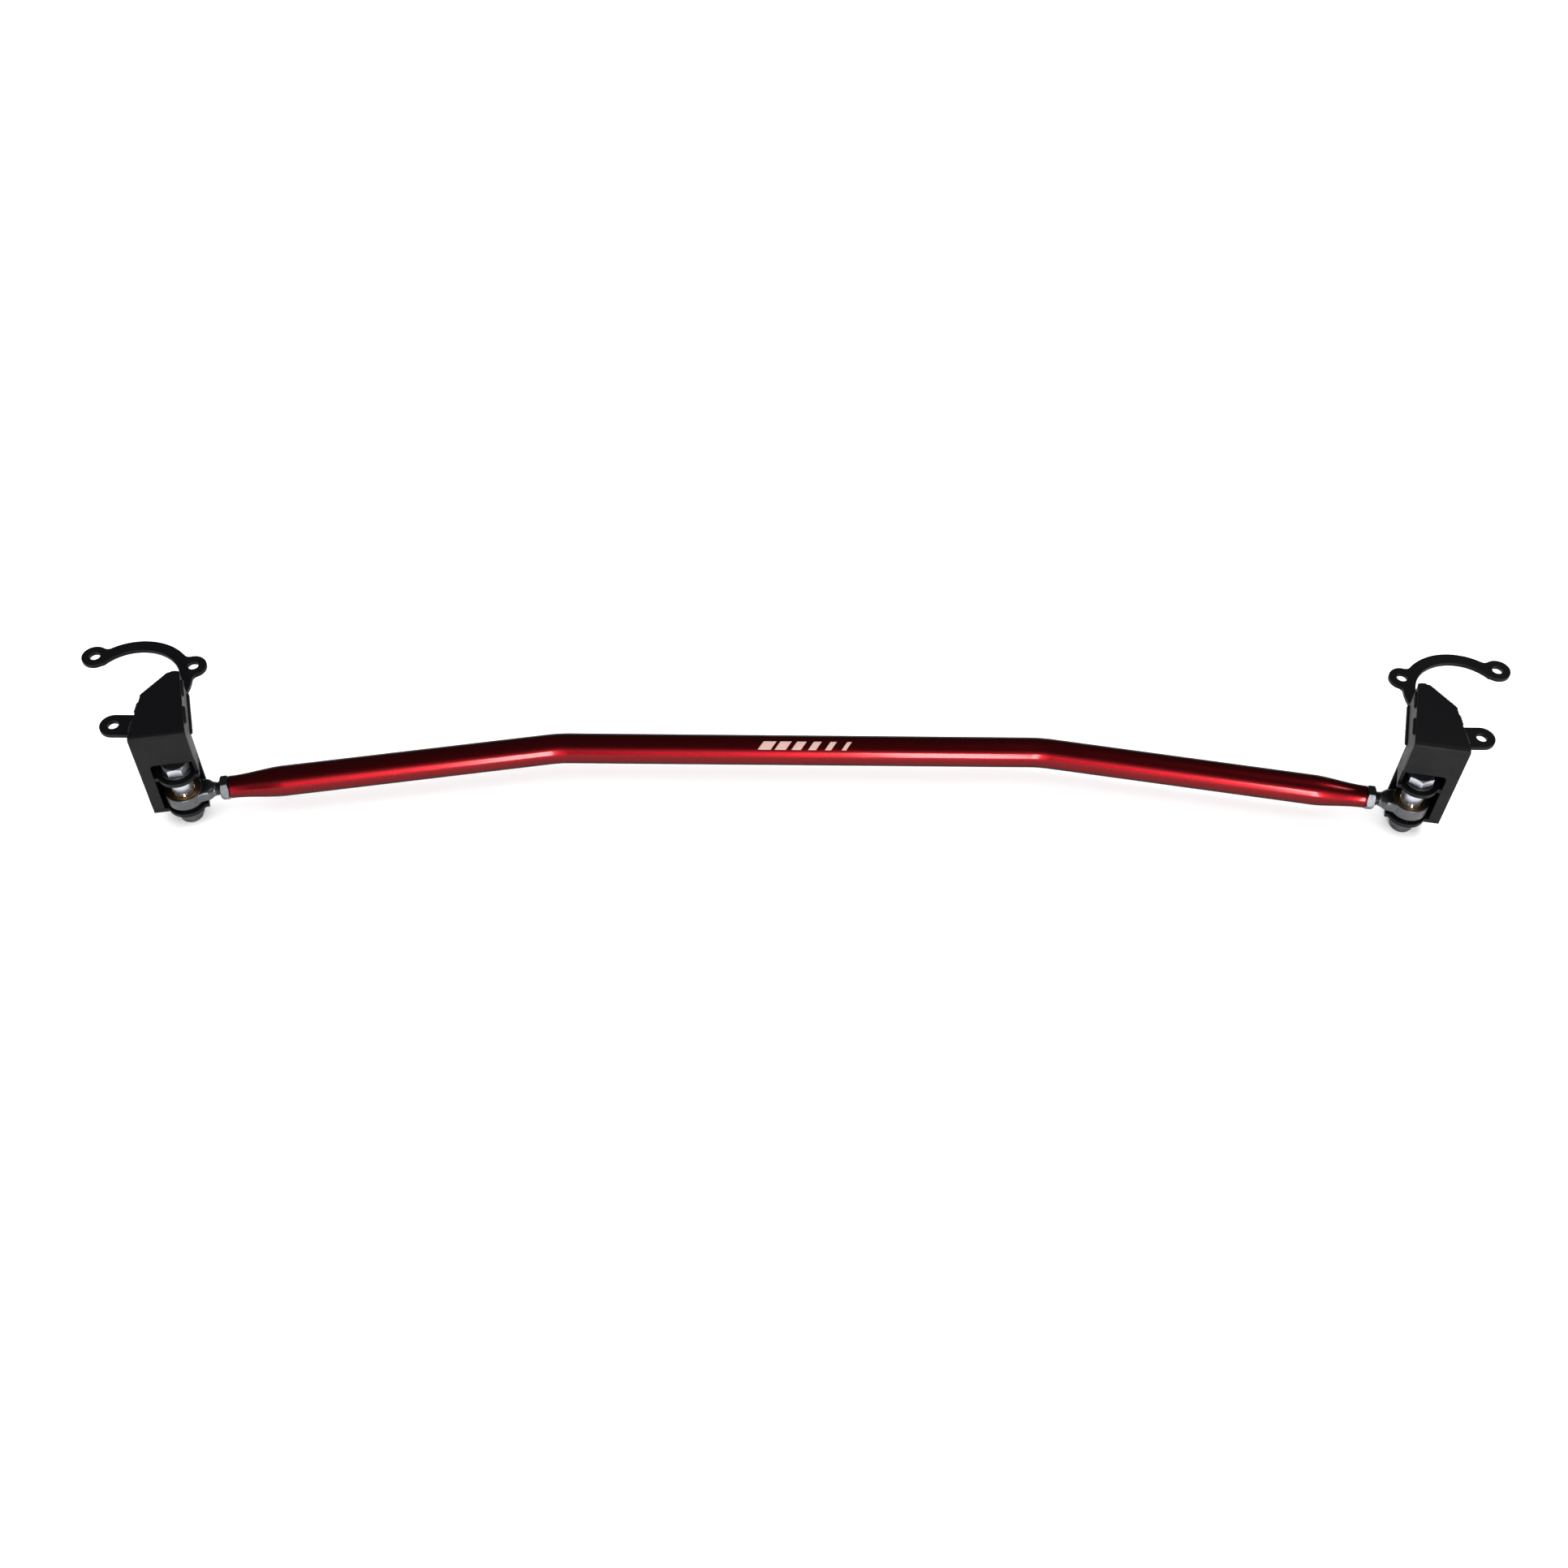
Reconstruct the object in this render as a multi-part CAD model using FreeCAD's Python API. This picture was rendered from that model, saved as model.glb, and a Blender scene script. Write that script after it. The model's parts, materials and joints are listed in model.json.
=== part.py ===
import FreeCAD
import Part
import math
import os

# Front strut-tower brace: a bent tube with a rod end at each end, pivoting on a vertical bolt in a
# welded bracket that sits on the three studs of a strut tower.  Millimetres, +Z up, +X along the
# bar, +Y to the rear of the car.  The origin is under the middle of the object's bounding box.
#
# Each end is drawn once, for the left side, in the tower's own frame: u points inboard, v to the
# rear and w up, from the centre of the stud circle on top of the ear plate.  The right end is its
# mirror image.

# ---- overall -------------------------------------------------------------------------------
TOWER_SPACING = 1100.0          # between the two stud circles
PIVOT_INBOARD = 46.0            # bolt axis, inboard of the stud circle's centre
PIVOT_AHEAD_OF_STUDS = 27.5     # bolt axis, ahead of the stud circle's front
BAR_SET_BACK = 52.0             # straight middle of the bar, behind the bolt axes
BEND_SPACING = 404.0            # between the tube's two bends

# ---- tube ----------------------------------------------------------------------------------
TUBE_OD = 25.4
TUBE_WALL = 2.0
BEND_RADIUS = 110.0
NECK_OD = 18.6
NECK_START = 36.0               # from the bolt axis, along the bar's end
NECK_LENGTH = 6.0
SWAGE_LENGTH = 30.0
TAPPED_LENGTH = 22.0

# ---- studs and ear plate ---------------------------------------------------------------------
STUD_CIRCLE_D = 97.0
STUD_COUNT = 3
FIRST_STUD_ANGLE = 23.3         # inboard rear stud, degrees from inboard towards the rear
STUD_HOLE_D = 8.8               # M8 studs
EAR_LOBE_R = 11.0
EAR_THICKNESS = 4.0
RING_INSIDE_STUDS = 12.0        # ring's inner edge, inside the stud circle
RING_WIDTH = 10.5
EAR_CORNER_R = 5.0              # blends between lobes and ring

# ---- box and leg of the bracket --------------------------------------------------------------
SHEET = 3.0
BOX_HEIGHT = 26.0               # top panel above the ear plate
FOLD_R = 4.0                    # outside of the fold between top and front panel
REAR_TIP_AHEAD = 13.5           # rear edge of the box, ahead of the stud circle's centre
REAR_TIP_WIDTH = 7.8
TIP_INSIDE_RING = 0.7           # box's inboard rear corner, inside the ring's outer edge
SHOULDER_INSIDE_RING = 1.2      # box's outboard shoulder, inside the ring's outer edge
OUTBOARD_FACE = 20.5            # outer face of the outboard wall, inboard of the stud centre
FRONT_FACE_AHEAD = 7.0          # outer face of the front panel, ahead of the bolt axis
FRONT_CORNER_INBOARD = 17.6     # inboard front corner, inboard of the bolt axis
WINDOW_TOP = -8.0               # top of the front panel's window, from the ear plate's top
WINDOW_STRIP = 9.5              # strip of front panel left outboard of the window
WINDOW_R = 4.0
UPPER_LUG_DROP = 23.0           # top of the upper lug, below the ear plate's top
LUG_THICKNESS = 4.0
EYE_CLEARANCE = 1.0             # round the rod end's eye, inside the leg and to the lugs' nose

# ---- pivot hardware ----------------------------------------------------------------------------
BOLT_D = 12.0
HEX_AF = 19.0                   # across flats, bolt head and lock nut
HEAD_HEIGHT = 7.5
LEFT_HEAD_TURN = 9.8            # degrees about the bolt axis, as each was left by its spanner
RIGHT_HEAD_TURN = -20.0
BOLT_PROTRUSION = 1.5
HOLE_CLEARANCE = 0.2            # radial, bolt in lugs, washers and spacers
WASHER_OD = 24.0
WASHER_THICKNESS = 2.5
SPACER_OD = 18.0
UPPER_SPACER = 16.0
LOWER_SPACER = 1.5
LOCK_NUT_HEIGHT = 12.0
NUT_COLLAR_HEIGHT = 3.5
NUT_COLLAR_WALL = 1.4
NYLON_WALL = 2.0
NYLON_HEIGHT = 2.6
JAM_NUT_AF = 18.0
JAM_NUT_HEIGHT = 7.0
CHAMFER = 1.0
CORNER_CHAMFER = 30.0           # degrees, on hexagon corners

# ---- rod end -----------------------------------------------------------------------------------
EYE_OD = 30.0
EYE_WIDTH = 12.0
EYE_EDGE_R = 1.2
RACE_OD = 25.2
RACE_WIDTH = 11.0
BALL_D = 22.2
BALL_WIDTH = 16.0
RUNNING_CLEARANCE = 0.05        # radial, ball in race and bolt in ball
SHANK_ROOT_R = 8.5
SHANK_ROOT_END = 20.0           # from the bolt axis
SHANK_TAPER = 5.0
SHANK_IN_TUBE = 20.0

# ---- worked out from the above -----------------------------------------------------------------
STUD_CIRCLE_R = STUD_CIRCLE_D / 2
RING_INNER_R = STUD_CIRCLE_R - RING_INSIDE_STUDS
RING_OUTER_R = RING_INNER_R + RING_WIDTH
PIVOT_V = -(STUD_CIRCLE_R + PIVOT_AHEAD_OF_STUDS)
END_RUN = (TOWER_SPACING - BEND_SPACING) / 2 - PIVOT_INBOARD
END_ANGLE = math.atan2(BAR_SET_BACK, END_RUN)
EYE_R = EYE_OD / 2
NOSE_R = EYE_R + EYE_CLEARANCE
BACK_INNER = -(EYE_R + EYE_CLEARANCE)
BACK_OUTER = BACK_INNER - SHEET

UPPER_LUG_TOP = -UPPER_LUG_DROP
UPPER_LUG_UNDER = UPPER_LUG_TOP - LUG_THICKNESS
EYE_W = UPPER_LUG_UNDER - UPPER_SPACER - BALL_WIDTH / 2
LOWER_LUG_TOP = EYE_W - BALL_WIDTH / 2 - LOWER_SPACER
LOWER_LUG_UNDER = LOWER_LUG_TOP - LUG_THICKNESS
HEAD_SEAT = UPPER_LUG_TOP + WASHER_THICKNESS
NUT_TOP = LOWER_LUG_UNDER - WASHER_THICKNESS
BOLT_END = NUT_TOP - LOCK_NUT_HEIGHT - BOLT_PROTRUSION
SHANK_END = NECK_START + SHANK_IN_TUBE


def flat(u, v, w=0.0):
    """A point in the tower's frame."""
    return FreeCAD.Vector(u, v, w)


PIVOT = flat(PIVOT_INBOARD, PIVOT_V)
ALONG = flat(math.cos(END_ANGLE), math.sin(END_ANGLE))     # along the bar's end, inboard
AHEAD = flat(math.sin(END_ANGLE), -math.cos(END_ANGLE))    # square to it, to the front


def from_pivot(along, ahead, w=0.0):
    """A point given along the bar's end and ahead of it, from the bolt axis."""
    point = PIVOT + ALONG * along + AHEAD * ahead
    return flat(point.x, point.y, w)


def meet(point_a, way_a, point_b, way_b):
    """Where two lines in plan cross."""
    cross = way_a.x * way_b.y - way_a.y * way_b.x
    gap = point_b - point_a
    share = (gap.x * way_b.y - gap.y * way_b.x) / cross
    return point_a + way_a * share


def circle_point(radius, degrees):
    """A point on a circle about the stud circle's centre."""
    angle = math.radians(degrees)
    return flat(radius * math.cos(angle), radius * math.sin(angle))


def on_ring(radius, other):
    """The second coordinate of a point at this radius, from its first."""
    return math.sqrt(radius ** 2 - other ** 2)


# ---- plan of the box: outer corners, then the lines of each wall's two faces -------------------
TIP_IN = flat(RING_OUTER_R - TIP_INSIDE_RING, -REAR_TIP_AHEAD)
TIP_OUT = TIP_IN - flat(REAR_TIP_WIDTH, 0)
FRONT_IN = from_pivot(FRONT_CORNER_INBOARD, FRONT_FACE_AHEAD)
FRONT_OUT = meet(FRONT_IN, ALONG, flat(OUTBOARD_FACE, 0), flat(0, 1))
SHOULDER = flat(OUTBOARD_FACE, -on_ring(RING_OUTER_R - SHOULDER_INSIDE_RING, OUTBOARD_FACE))
BOX_PLAN = [TIP_OUT, TIP_IN, FRONT_IN, FRONT_OUT, SHOULDER]


def inward(start, end):
    """The unit normal of a wall's line that points into the box (corners run clockwise)."""
    way = (end - start).normalize()
    return flat(way.y, -way.x)


def wall_line(index, depth):
    """A point and a direction of the wall line after corner index, moved into the box."""
    start = BOX_PLAN[index]
    end = BOX_PLAN[(index + 1) % len(BOX_PLAN)]
    return start + inward(start, end) * depth, (end - start).normalize()


REAR_LINE, INBOARD_LINE, FRONT_LINE, OUTBOARD_LINE, GUSSET_LINE = range(5)


def corner(first, first_depth, second, second_depth):
    """Where two wall lines cross, each moved into the box by its own depth."""
    return meet(*wall_line(first, first_depth), *wall_line(second, second_depth))


def back_corner(line, line_depth, ahead):
    """Where a wall line crosses a line parallel to the bar's end."""
    return meet(*wall_line(line, line_depth), from_pivot(0, ahead), ALONG)


# ---- shape helpers -----------------------------------------------------------------------------
def prism(points, low, high):
    """An upright prism on a plan outline."""
    outline = [flat(point.x, point.y, low) for point in points]
    face = Part.Face(Part.makePolygon(outline + outline[:1]))
    return face.extrude(flat(0, 0, high - low))


def disc(radius, low, high, centre=None):
    """An upright cylinder."""
    middle = centre if centre is not None else flat(0, 0)
    return Part.makeCylinder(radius, high - low, flat(middle.x, middle.y, low))


def fused(shapes):
    """One solid out of several that touch or overlap."""
    whole = shapes[0]
    for shape in shapes[1:]:
        whole = whole.fuse(shape)
    return whole.removeSplitter()


def pivot_ring(outer_r, inner_r, low, high):
    """A ring round the bolt axis."""
    return disc(outer_r, low, high, PIVOT).cut(disc(inner_r, low - 1, high + 1, PIVOT))


def hexagon(across_flats, height, chamfered_ends):
    """A hexagonal bar along +Z from the origin, with its corners chamfered at the given ends."""
    corner_r = across_flats / 2 / math.cos(math.pi / 6)
    points = [circle_point(corner_r, 60.0 * step) for step in range(6)]
    bar = prism(points, 0, height)
    reach = corner_r + CHAMFER
    flat_r = across_flats / 2 - CHAMFER / 2
    rise = (reach - flat_r) * math.tan(math.radians(CORNER_CHAMFER))
    if "top" in chamfered_ends:
        cone = Part.makeCone(reach, flat_r, rise, flat(0, 0, height - rise))
        bar = bar.common(cone.fuse(Part.makeCylinder(reach, height - rise)))
    if "bottom" in chamfered_ends:
        cone = Part.makeCone(flat_r, reach, rise)
        body = Part.makeCylinder(reach, height - rise, flat(0, 0, rise))
        bar = bar.common(cone.fuse(body))
    return bar


def along_bar(shape):
    """Moves a shape drawn along +Z from the origin onto the bar's end axis, at the bolt axis."""
    turned = shape.copy()
    turned.rotate(flat(0, 0), flat(0, 1), 90)
    turned.rotate(flat(0, 0), flat(0, 0, 1), math.degrees(END_ANGLE))
    turned.translate(flat(PIVOT.x, PIVOT.y, EYE_W))
    return turned


# ---- bracket -----------------------------------------------------------------------------------
def ear_plate():
    """Ring sector with three stud eyes and the pad that the box stands on."""
    angles = [FIRST_STUD_ANGLE + 360.0 / STUD_COUNT * step for step in range(STUD_COUNT)]
    inboard_eye, outboard_eye, front_eye = [circle_point(STUD_CIRCLE_R, a) for a in angles]
    ring = disc(RING_OUTER_R, 0, EAR_THICKNESS)
    start_angle = math.degrees(math.atan2(SHOULDER.y, SHOULDER.x))
    reach = 2 * RING_OUTER_R
    sweep = [circle_point(reach, start_angle + step * (angles[1] - start_angle) / 4)
             for step in range(5)]
    ring = ring.common(prism([flat(0, 0)] + sweep, 0, EAR_THICKNESS))
    pad = prism([TIP_OUT, TIP_IN, back_corner(INBOARD_LINE, 0, BACK_OUTER),
                 back_corner(OUTBOARD_LINE, 0, BACK_OUTER), SHOULDER], 0, EAR_THICKNESS)
    tab_points = [flat(OUTBOARD_FACE + SHEET, front_eye.y - EAR_LOBE_R),
                  flat(front_eye.x, front_eye.y - EAR_LOBE_R),
                  flat(front_eye.x, front_eye.y + EAR_LOBE_R),
                  flat(OUTBOARD_FACE + SHEET, front_eye.y + EAR_LOBE_R)]
    pieces = [ring, pad, prism(tab_points, 0, EAR_THICKNESS)]
    pieces += [disc(EAR_LOBE_R, 0, EAR_THICKNESS, eye)
               for eye in (inboard_eye, outboard_eye, front_eye)]
    plate = fused(pieces)
    outline = max((face for face in plate.Faces if face.normalAt(0, 0).z > 0.9),
                  key=lambda face: face.Area)
    rounded = outline.makeOffset2D(EAR_CORNER_R).makeOffset2D(-EAR_CORNER_R)
    plate = Part.Face(rounded.Wires[0]).extrude(flat(0, 0, -EAR_THICKNESS))
    plate.translate(flat(0, 0, -plate.BoundBox.ZMax))
    plate = plate.cut(disc(RING_INNER_R, -2 * EAR_THICKNESS, EAR_THICKNESS))
    for eye in (inboard_eye, outboard_eye, front_eye):
        plate = plate.cut(disc(STUD_HOLE_D / 2, -2 * EAR_THICKNESS, EAR_THICKNESS, eye))
    front = prism([from_pivot(-TOWER_SPACING, BACK_OUTER), from_pivot(TOWER_SPACING, BACK_OUTER),
                   from_pivot(TOWER_SPACING, TOWER_SPACING),
                   from_pivot(-TOWER_SPACING, TOWER_SPACING)], -2 * EAR_THICKNESS, EAR_THICKNESS)
    return plate.cut(front)


def box_shell():
    """Top panel folded down into the front panel, with the window that shows the pivot."""
    top = prism(BOX_PLAN, BOX_HEIGHT - SHEET, BOX_HEIGHT)
    front_plan = [FRONT_IN, FRONT_OUT, corner(FRONT_LINE, SHEET, OUTBOARD_LINE, 0),
                  corner(FRONT_LINE, SHEET, INBOARD_LINE, 0)]
    shell = fused([top, prism(front_plan, LOWER_LUG_TOP, BOX_HEIGHT)])
    fold = [edge for edge in shell.Edges
            if all(abs(v.Z - BOX_HEIGHT) < 1e-6 for v in edge.Vertexes)
            and all(abs((v.Point - PIVOT).dot(AHEAD) - FRONT_FACE_AHEAD) < 1e-6
                    for v in edge.Vertexes)]
    shell = shell.makeFillet(FOLD_R, fold)
    strip_edge = (FRONT_OUT - PIVOT).dot(ALONG) + WINDOW_STRIP
    depth = 2 * FRONT_FACE_AHEAD
    window_plan = [from_pivot(strip_edge, -depth), from_pivot(TOWER_SPACING, -depth),
                   from_pivot(TOWER_SPACING, depth), from_pivot(strip_edge, depth)]
    window = prism(window_plan, 2 * LOWER_LUG_TOP, WINDOW_TOP)
    inner_corner = [edge for edge in window.Edges
                    if all(abs((v.Point - PIVOT).dot(ALONG) - strip_edge) < 1e-6
                           and abs(v.Z - WINDOW_TOP) < 1e-6 for v in edge.Vertexes)]
    window = window.makeFillet(WINDOW_R, inner_corner)
    return shell.cut(window)


def outboard_side_plate():
    """Outboard wall: on the ear plate at the rear, down to the lower lug at the front."""
    plan = [corner(FRONT_LINE, SHEET, OUTBOARD_LINE, 0), SHOULDER,
            corner(OUTBOARD_LINE, SHEET, GUSSET_LINE, SHEET),
            corner(FRONT_LINE, SHEET, OUTBOARD_LINE, SHEET)]
    leg_plan = [plan[0], back_corner(OUTBOARD_LINE, 0, BACK_OUTER),
                back_corner(OUTBOARD_LINE, SHEET, BACK_OUTER), plan[3]]
    return fused([prism(plan, 0, BOX_HEIGHT - SHEET), prism(leg_plan, LOWER_LUG_TOP, 0)])


def inboard_side_plate():
    """Inboard wall: on the ear plate at the rear, down to the upper lug at the front."""
    plan = [corner(FRONT_LINE, SHEET, INBOARD_LINE, 0), TIP_IN,
            corner(INBOARD_LINE, SHEET, REAR_LINE, SHEET),
            corner(FRONT_LINE, SHEET, INBOARD_LINE, SHEET)]
    leg_plan = [plan[0], back_corner(INBOARD_LINE, 0, BACK_INNER),
                back_corner(INBOARD_LINE, SHEET, BACK_INNER), plan[3]]
    return fused([prism(plan, 0, BOX_HEIGHT - SHEET), prism(leg_plan, UPPER_LUG_TOP, 0)])


def rear_gusset():
    """Bent strip that closes the box at its rear tip and along the ring."""
    plan = [SHOULDER, TIP_OUT, TIP_IN, corner(INBOARD_LINE, SHEET, REAR_LINE, SHEET),
            corner(REAR_LINE, SHEET, GUSSET_LINE, SHEET),
            corner(OUTBOARD_LINE, SHEET, GUSSET_LINE, SHEET)]
    return prism(plan, 0, BOX_HEIGHT - SHEET)


def leg_back_plate():
    """Rear wall of the leg, from the lower lug to the ear plate."""
    plan = [back_corner(OUTBOARD_LINE, SHEET, BACK_OUTER),
            back_corner(INBOARD_LINE, 0, BACK_OUTER),
            back_corner(INBOARD_LINE, 0, BACK_INNER),
            back_corner(OUTBOARD_LINE, SHEET, BACK_INNER)]
    return prism(plan, LOWER_LUG_TOP, 0)


def lug(back, outboard_depth, low):
    """A lug plate with a round nose ahead of the bolt."""
    plan = [back_corner(OUTBOARD_LINE, outboard_depth, back), back_corner(INBOARD_LINE, 0, back),
            FRONT_IN, corner(FRONT_LINE, 0, OUTBOARD_LINE, outboard_depth)]
    plate = fused([prism(plan, low, low + LUG_THICKNESS),
                   disc(NOSE_R, low, low + LUG_THICKNESS, PIVOT)])
    return plate.cut(disc(BOLT_D / 2 + HOLE_CLEARANCE, low - 1, low + LUG_THICKNESS + 1, PIVOT))


def upper_lug():
    """Lug above the rod end, welded between the leg's walls and seen through the window."""
    plate = lug(BACK_INNER, SHEET, UPPER_LUG_UNDER)
    strip_edge = (FRONT_OUT - PIVOT).dot(ALONG) + WINDOW_STRIP
    inner_face = FRONT_FACE_AHEAD - SHEET
    strip = prism([from_pivot(-TOWER_SPACING, inner_face), from_pivot(strip_edge, inner_face),
                   from_pivot(strip_edge, TOWER_SPACING),
                   from_pivot(-TOWER_SPACING, TOWER_SPACING)], 2 * EYE_W, 0)
    return plate.cut(strip)


def lower_lug():
    """Foot of the leg: the plate that all its walls stand on."""
    return lug(BACK_OUTER, 0, LOWER_LUG_UNDER)


# ---- pivot hardware ----------------------------------------------------------------------------
def pivot_bolt(head_turn):
    """Hexagon bolt, head up, with a flat facing the front before its turn."""
    shank = disc(BOLT_D / 2, BOLT_END, HEAD_SEAT, PIVOT)
    tip = [edge for edge in shank.Edges if abs(edge.BoundBox.ZMax - BOLT_END) < 1e-6]
    shank = shank.makeChamfer(CHAMFER, tip)
    head = hexagon(HEX_AF, HEAD_HEIGHT, ["top"])
    head.rotate(flat(0, 0), flat(0, 0, 1), head_turn)
    head.translate(flat(PIVOT.x, PIVOT.y, HEAD_SEAT))
    return fused([head, shank])


def washers():
    """One washer under the head and one above the lock nut."""
    hole = BOLT_D / 2 + HOLE_CLEARANCE
    rings = [pivot_ring(WASHER_OD / 2, hole, low, low + WASHER_THICKNESS)
             for low in (UPPER_LUG_TOP, NUT_TOP)]
    return Part.makeCompound(rings)


def upper_spacer():
    """Sleeve between the upper lug and the ball."""
    low = EYE_W + BALL_WIDTH / 2
    return pivot_ring(SPACER_OD / 2, BOLT_D / 2 + HOLE_CLEARANCE, low, low + UPPER_SPACER)


def lower_spacer():
    """Thin ring between the ball and the lower lug."""
    return pivot_ring(SPACER_OD / 2, BOLT_D / 2 + HOLE_CLEARANCE,
                      LOWER_LUG_TOP, LOWER_LUG_TOP + LOWER_SPACER)


def lock_nut():
    """Hexagon nut with a round collar below, hollowed for the nylon ring."""
    hex_height = LOCK_NUT_HEIGHT - NUT_COLLAR_HEIGHT
    body = hexagon(HEX_AF, hex_height, ["top", "bottom"])
    body.translate(flat(PIVOT.x, PIVOT.y, NUT_TOP - hex_height))
    pocket_r = BOLT_D / 2 + NYLON_WALL
    collar = disc(pocket_r + NUT_COLLAR_WALL, NUT_TOP - LOCK_NUT_HEIGHT,
                  NUT_TOP - hex_height + CHAMFER, PIVOT)
    rim = [edge for edge in collar.Edges
           if abs(edge.BoundBox.ZMax - (NUT_TOP - LOCK_NUT_HEIGHT)) < 1e-6]
    nut = fused([body, collar.makeFillet(NUT_COLLAR_WALL / 2, rim)])
    nut = nut.cut(disc(BOLT_D / 2, 2 * BOLT_END, 0, PIVOT))
    return nut.cut(disc(pocket_r, 2 * BOLT_END, NUT_TOP - LOCK_NUT_HEIGHT + NYLON_HEIGHT, PIVOT))


def nylon_ring():
    """Ring in the lock nut's collar that grips the thread."""
    low = NUT_TOP - LOCK_NUT_HEIGHT
    return pivot_ring(BOLT_D / 2 + NYLON_WALL, BOLT_D / 2, low + NYLON_WALL / 4,
                      low + NYLON_HEIGHT)


# ---- rod end -----------------------------------------------------------------------------------
def rod_end_body():
    """Eye with a threaded shank, flattened to the eye's width at its root."""
    half = EYE_WIDTH / 2
    eye = disc(EYE_R, -half, half)
    eye = eye.makeFillet(EYE_EDGE_R, [e for e in eye.Edges if e.Curve.TypeId == "Part::GeomCircle"])
    root = Part.makeCylinder(SHANK_ROOT_R, SHANK_ROOT_END, flat(0, 0), flat(1, 0))
    taper = Part.makeCone(SHANK_ROOT_R, BOLT_D / 2, SHANK_TAPER, flat(SHANK_ROOT_END, 0),
                          flat(1, 0))
    slab = Part.makeBox(SHANK_END, EYE_OD, EYE_WIDTH, flat(0, -EYE_R, -half))
    root = root.fuse(taper).common(slab)
    start = SHANK_ROOT_END + SHANK_TAPER
    shank = Part.makeCylinder(BOLT_D / 2, SHANK_END - start, flat(start, 0), flat(1, 0))
    body = fused([eye, root, shank]).cut(disc(RACE_OD / 2, -EYE_WIDTH, EYE_WIDTH))
    return rod_end_place(body)


def rod_end_place(shape):
    """Moves a rod-end piece, drawn about its own eye with its shank along +X, to its place."""
    placed = shape.copy()
    placed.rotate(flat(0, 0), flat(0, 0, 1), math.degrees(END_ANGLE))
    placed.translate(flat(PIVOT.x, PIVOT.y, EYE_W))
    return placed


def rod_end_race():
    """Bronze ring in the eye, hollowed to take the ball."""
    race = disc(RACE_OD / 2, -RACE_WIDTH / 2, RACE_WIDTH / 2)
    return rod_end_place(race.cut(Part.makeSphere(BALL_D / 2 + RUNNING_CLEARANCE)))


def rod_end_ball():
    """Ball with flats top and bottom, bored to run on the bolt."""
    slab = disc(BALL_D, -BALL_WIDTH / 2, BALL_WIDTH / 2)
    ball = Part.makeSphere(BALL_D / 2).common(slab)
    return rod_end_place(ball.cut(disc(BOLT_D / 2 + RUNNING_CLEARANCE, -BALL_D, BALL_D)))


def jam_nut():
    """Thin nut that locks the shank against the tube's neck."""
    nut = hexagon(JAM_NUT_AF, JAM_NUT_HEIGHT, ["top", "bottom"])
    nut.rotate(flat(0, 0), flat(0, 0, 1), 30)
    nut = nut.cut(Part.makeCylinder(BOLT_D / 2, JAM_NUT_HEIGHT))
    nut.translate(flat(0, 0, NECK_START - JAM_NUT_HEIGHT))
    return along_bar(nut)


# ---- tube --------------------------------------------------------------------------------------
def tube_end(radius, neck_r, neck_length, swage_length, reach):
    """Neck and swaged cone of one end, as solids along the bar's end axis."""
    neck = Part.makeCylinder(neck_r, neck_length, flat(0, 0, NECK_START))
    cone = Part.makeCone(neck_r, radius, swage_length, flat(0, 0, NECK_START + neck_length))
    start = NECK_START + neck_length + swage_length
    straight = Part.makeCylinder(radius, reach - start, flat(0, 0, start))
    return [along_bar(piece) for piece in (neck, cone, straight)]


def tube_middle(radius, reach):
    """Half of the tube's middle: from the end of a straight end, round its bend to the centre."""
    side = flat(TOWER_SPACING / 2, 0)
    bend = flat(-BEND_SPACING / 2, PIVOT_V + BAR_SET_BACK, EYE_W) + side
    tangent = BEND_RADIUS * math.tan(END_ANGLE / 2)
    start = from_pivot(reach, 0, EYE_W)
    arc_start = bend - ALONG * tangent
    arc_end = bend + flat(tangent, 0)
    centre = arc_end + flat(0, -BEND_RADIUS)
    half_way = centre + flat(-math.sin(END_ANGLE / 2), math.cos(END_ANGLE / 2)) * BEND_RADIUS
    path = Part.Wire([Part.LineSegment(start, arc_start).toShape(),
                      Part.Arc(arc_start, half_way, arc_end).toShape(),
                      Part.LineSegment(arc_end, flat(side.x, bend.y, EYE_W)).toShape()])
    section = Part.Wire([Part.makeCircle(radius, start, ALONG)])
    return path.makePipeShell([section], True, False)


def half_tube(outer):
    """Left half of the tube's outer or inner form, in the tower's frame."""
    reach = NECK_START + NECK_LENGTH + SWAGE_LENGTH + TUBE_OD
    if outer:
        ends = tube_end(TUBE_OD / 2, NECK_OD / 2, NECK_LENGTH, SWAGE_LENGTH, reach)
        return fused(ends + [tube_middle(TUBE_OD / 2, reach)])
    swage = NECK_LENGTH + SWAGE_LENGTH - TAPPED_LENGTH
    bore = TUBE_OD / 2 - TUBE_WALL
    ends = tube_end(bore, BOLT_D / 2, TAPPED_LENGTH, swage, reach)
    return fused(ends + [tube_middle(bore, reach)])


def bar_tube():
    """The whole tube, from its two mirrored halves."""
    half = to_row(half_tube(True).cut(half_tube(False)))
    return fused([half, mirrored(half)])


# ---- placing and writing -------------------------------------------------------------------------
LOBE_REAR = max(STUD_CIRCLE_R * math.sin(math.radians(FIRST_STUD_ANGLE + 360.0 / STUD_COUNT * n))
                for n in range(STUD_COUNT)) + EAR_LOBE_R
REAR_EDGE = max(RING_OUTER_R, LOBE_REAR)
FRONT_EDGE = min(PIVOT_V - NOSE_R, FRONT_OUT.y)
ROW_SHIFT = flat(-TOWER_SPACING / 2, -(REAR_EDGE + FRONT_EDGE) / 2, -BOLT_END)


def to_row(shape):
    """Moves a shape from the left tower's frame to the row's frame."""
    placed = shape.copy()
    placed.translate(ROW_SHIFT)
    return placed


def mirrored(shape):
    """The right-hand twin of a left-hand shape."""
    return shape.mirror(flat(0, 0), flat(1, 0))


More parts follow.
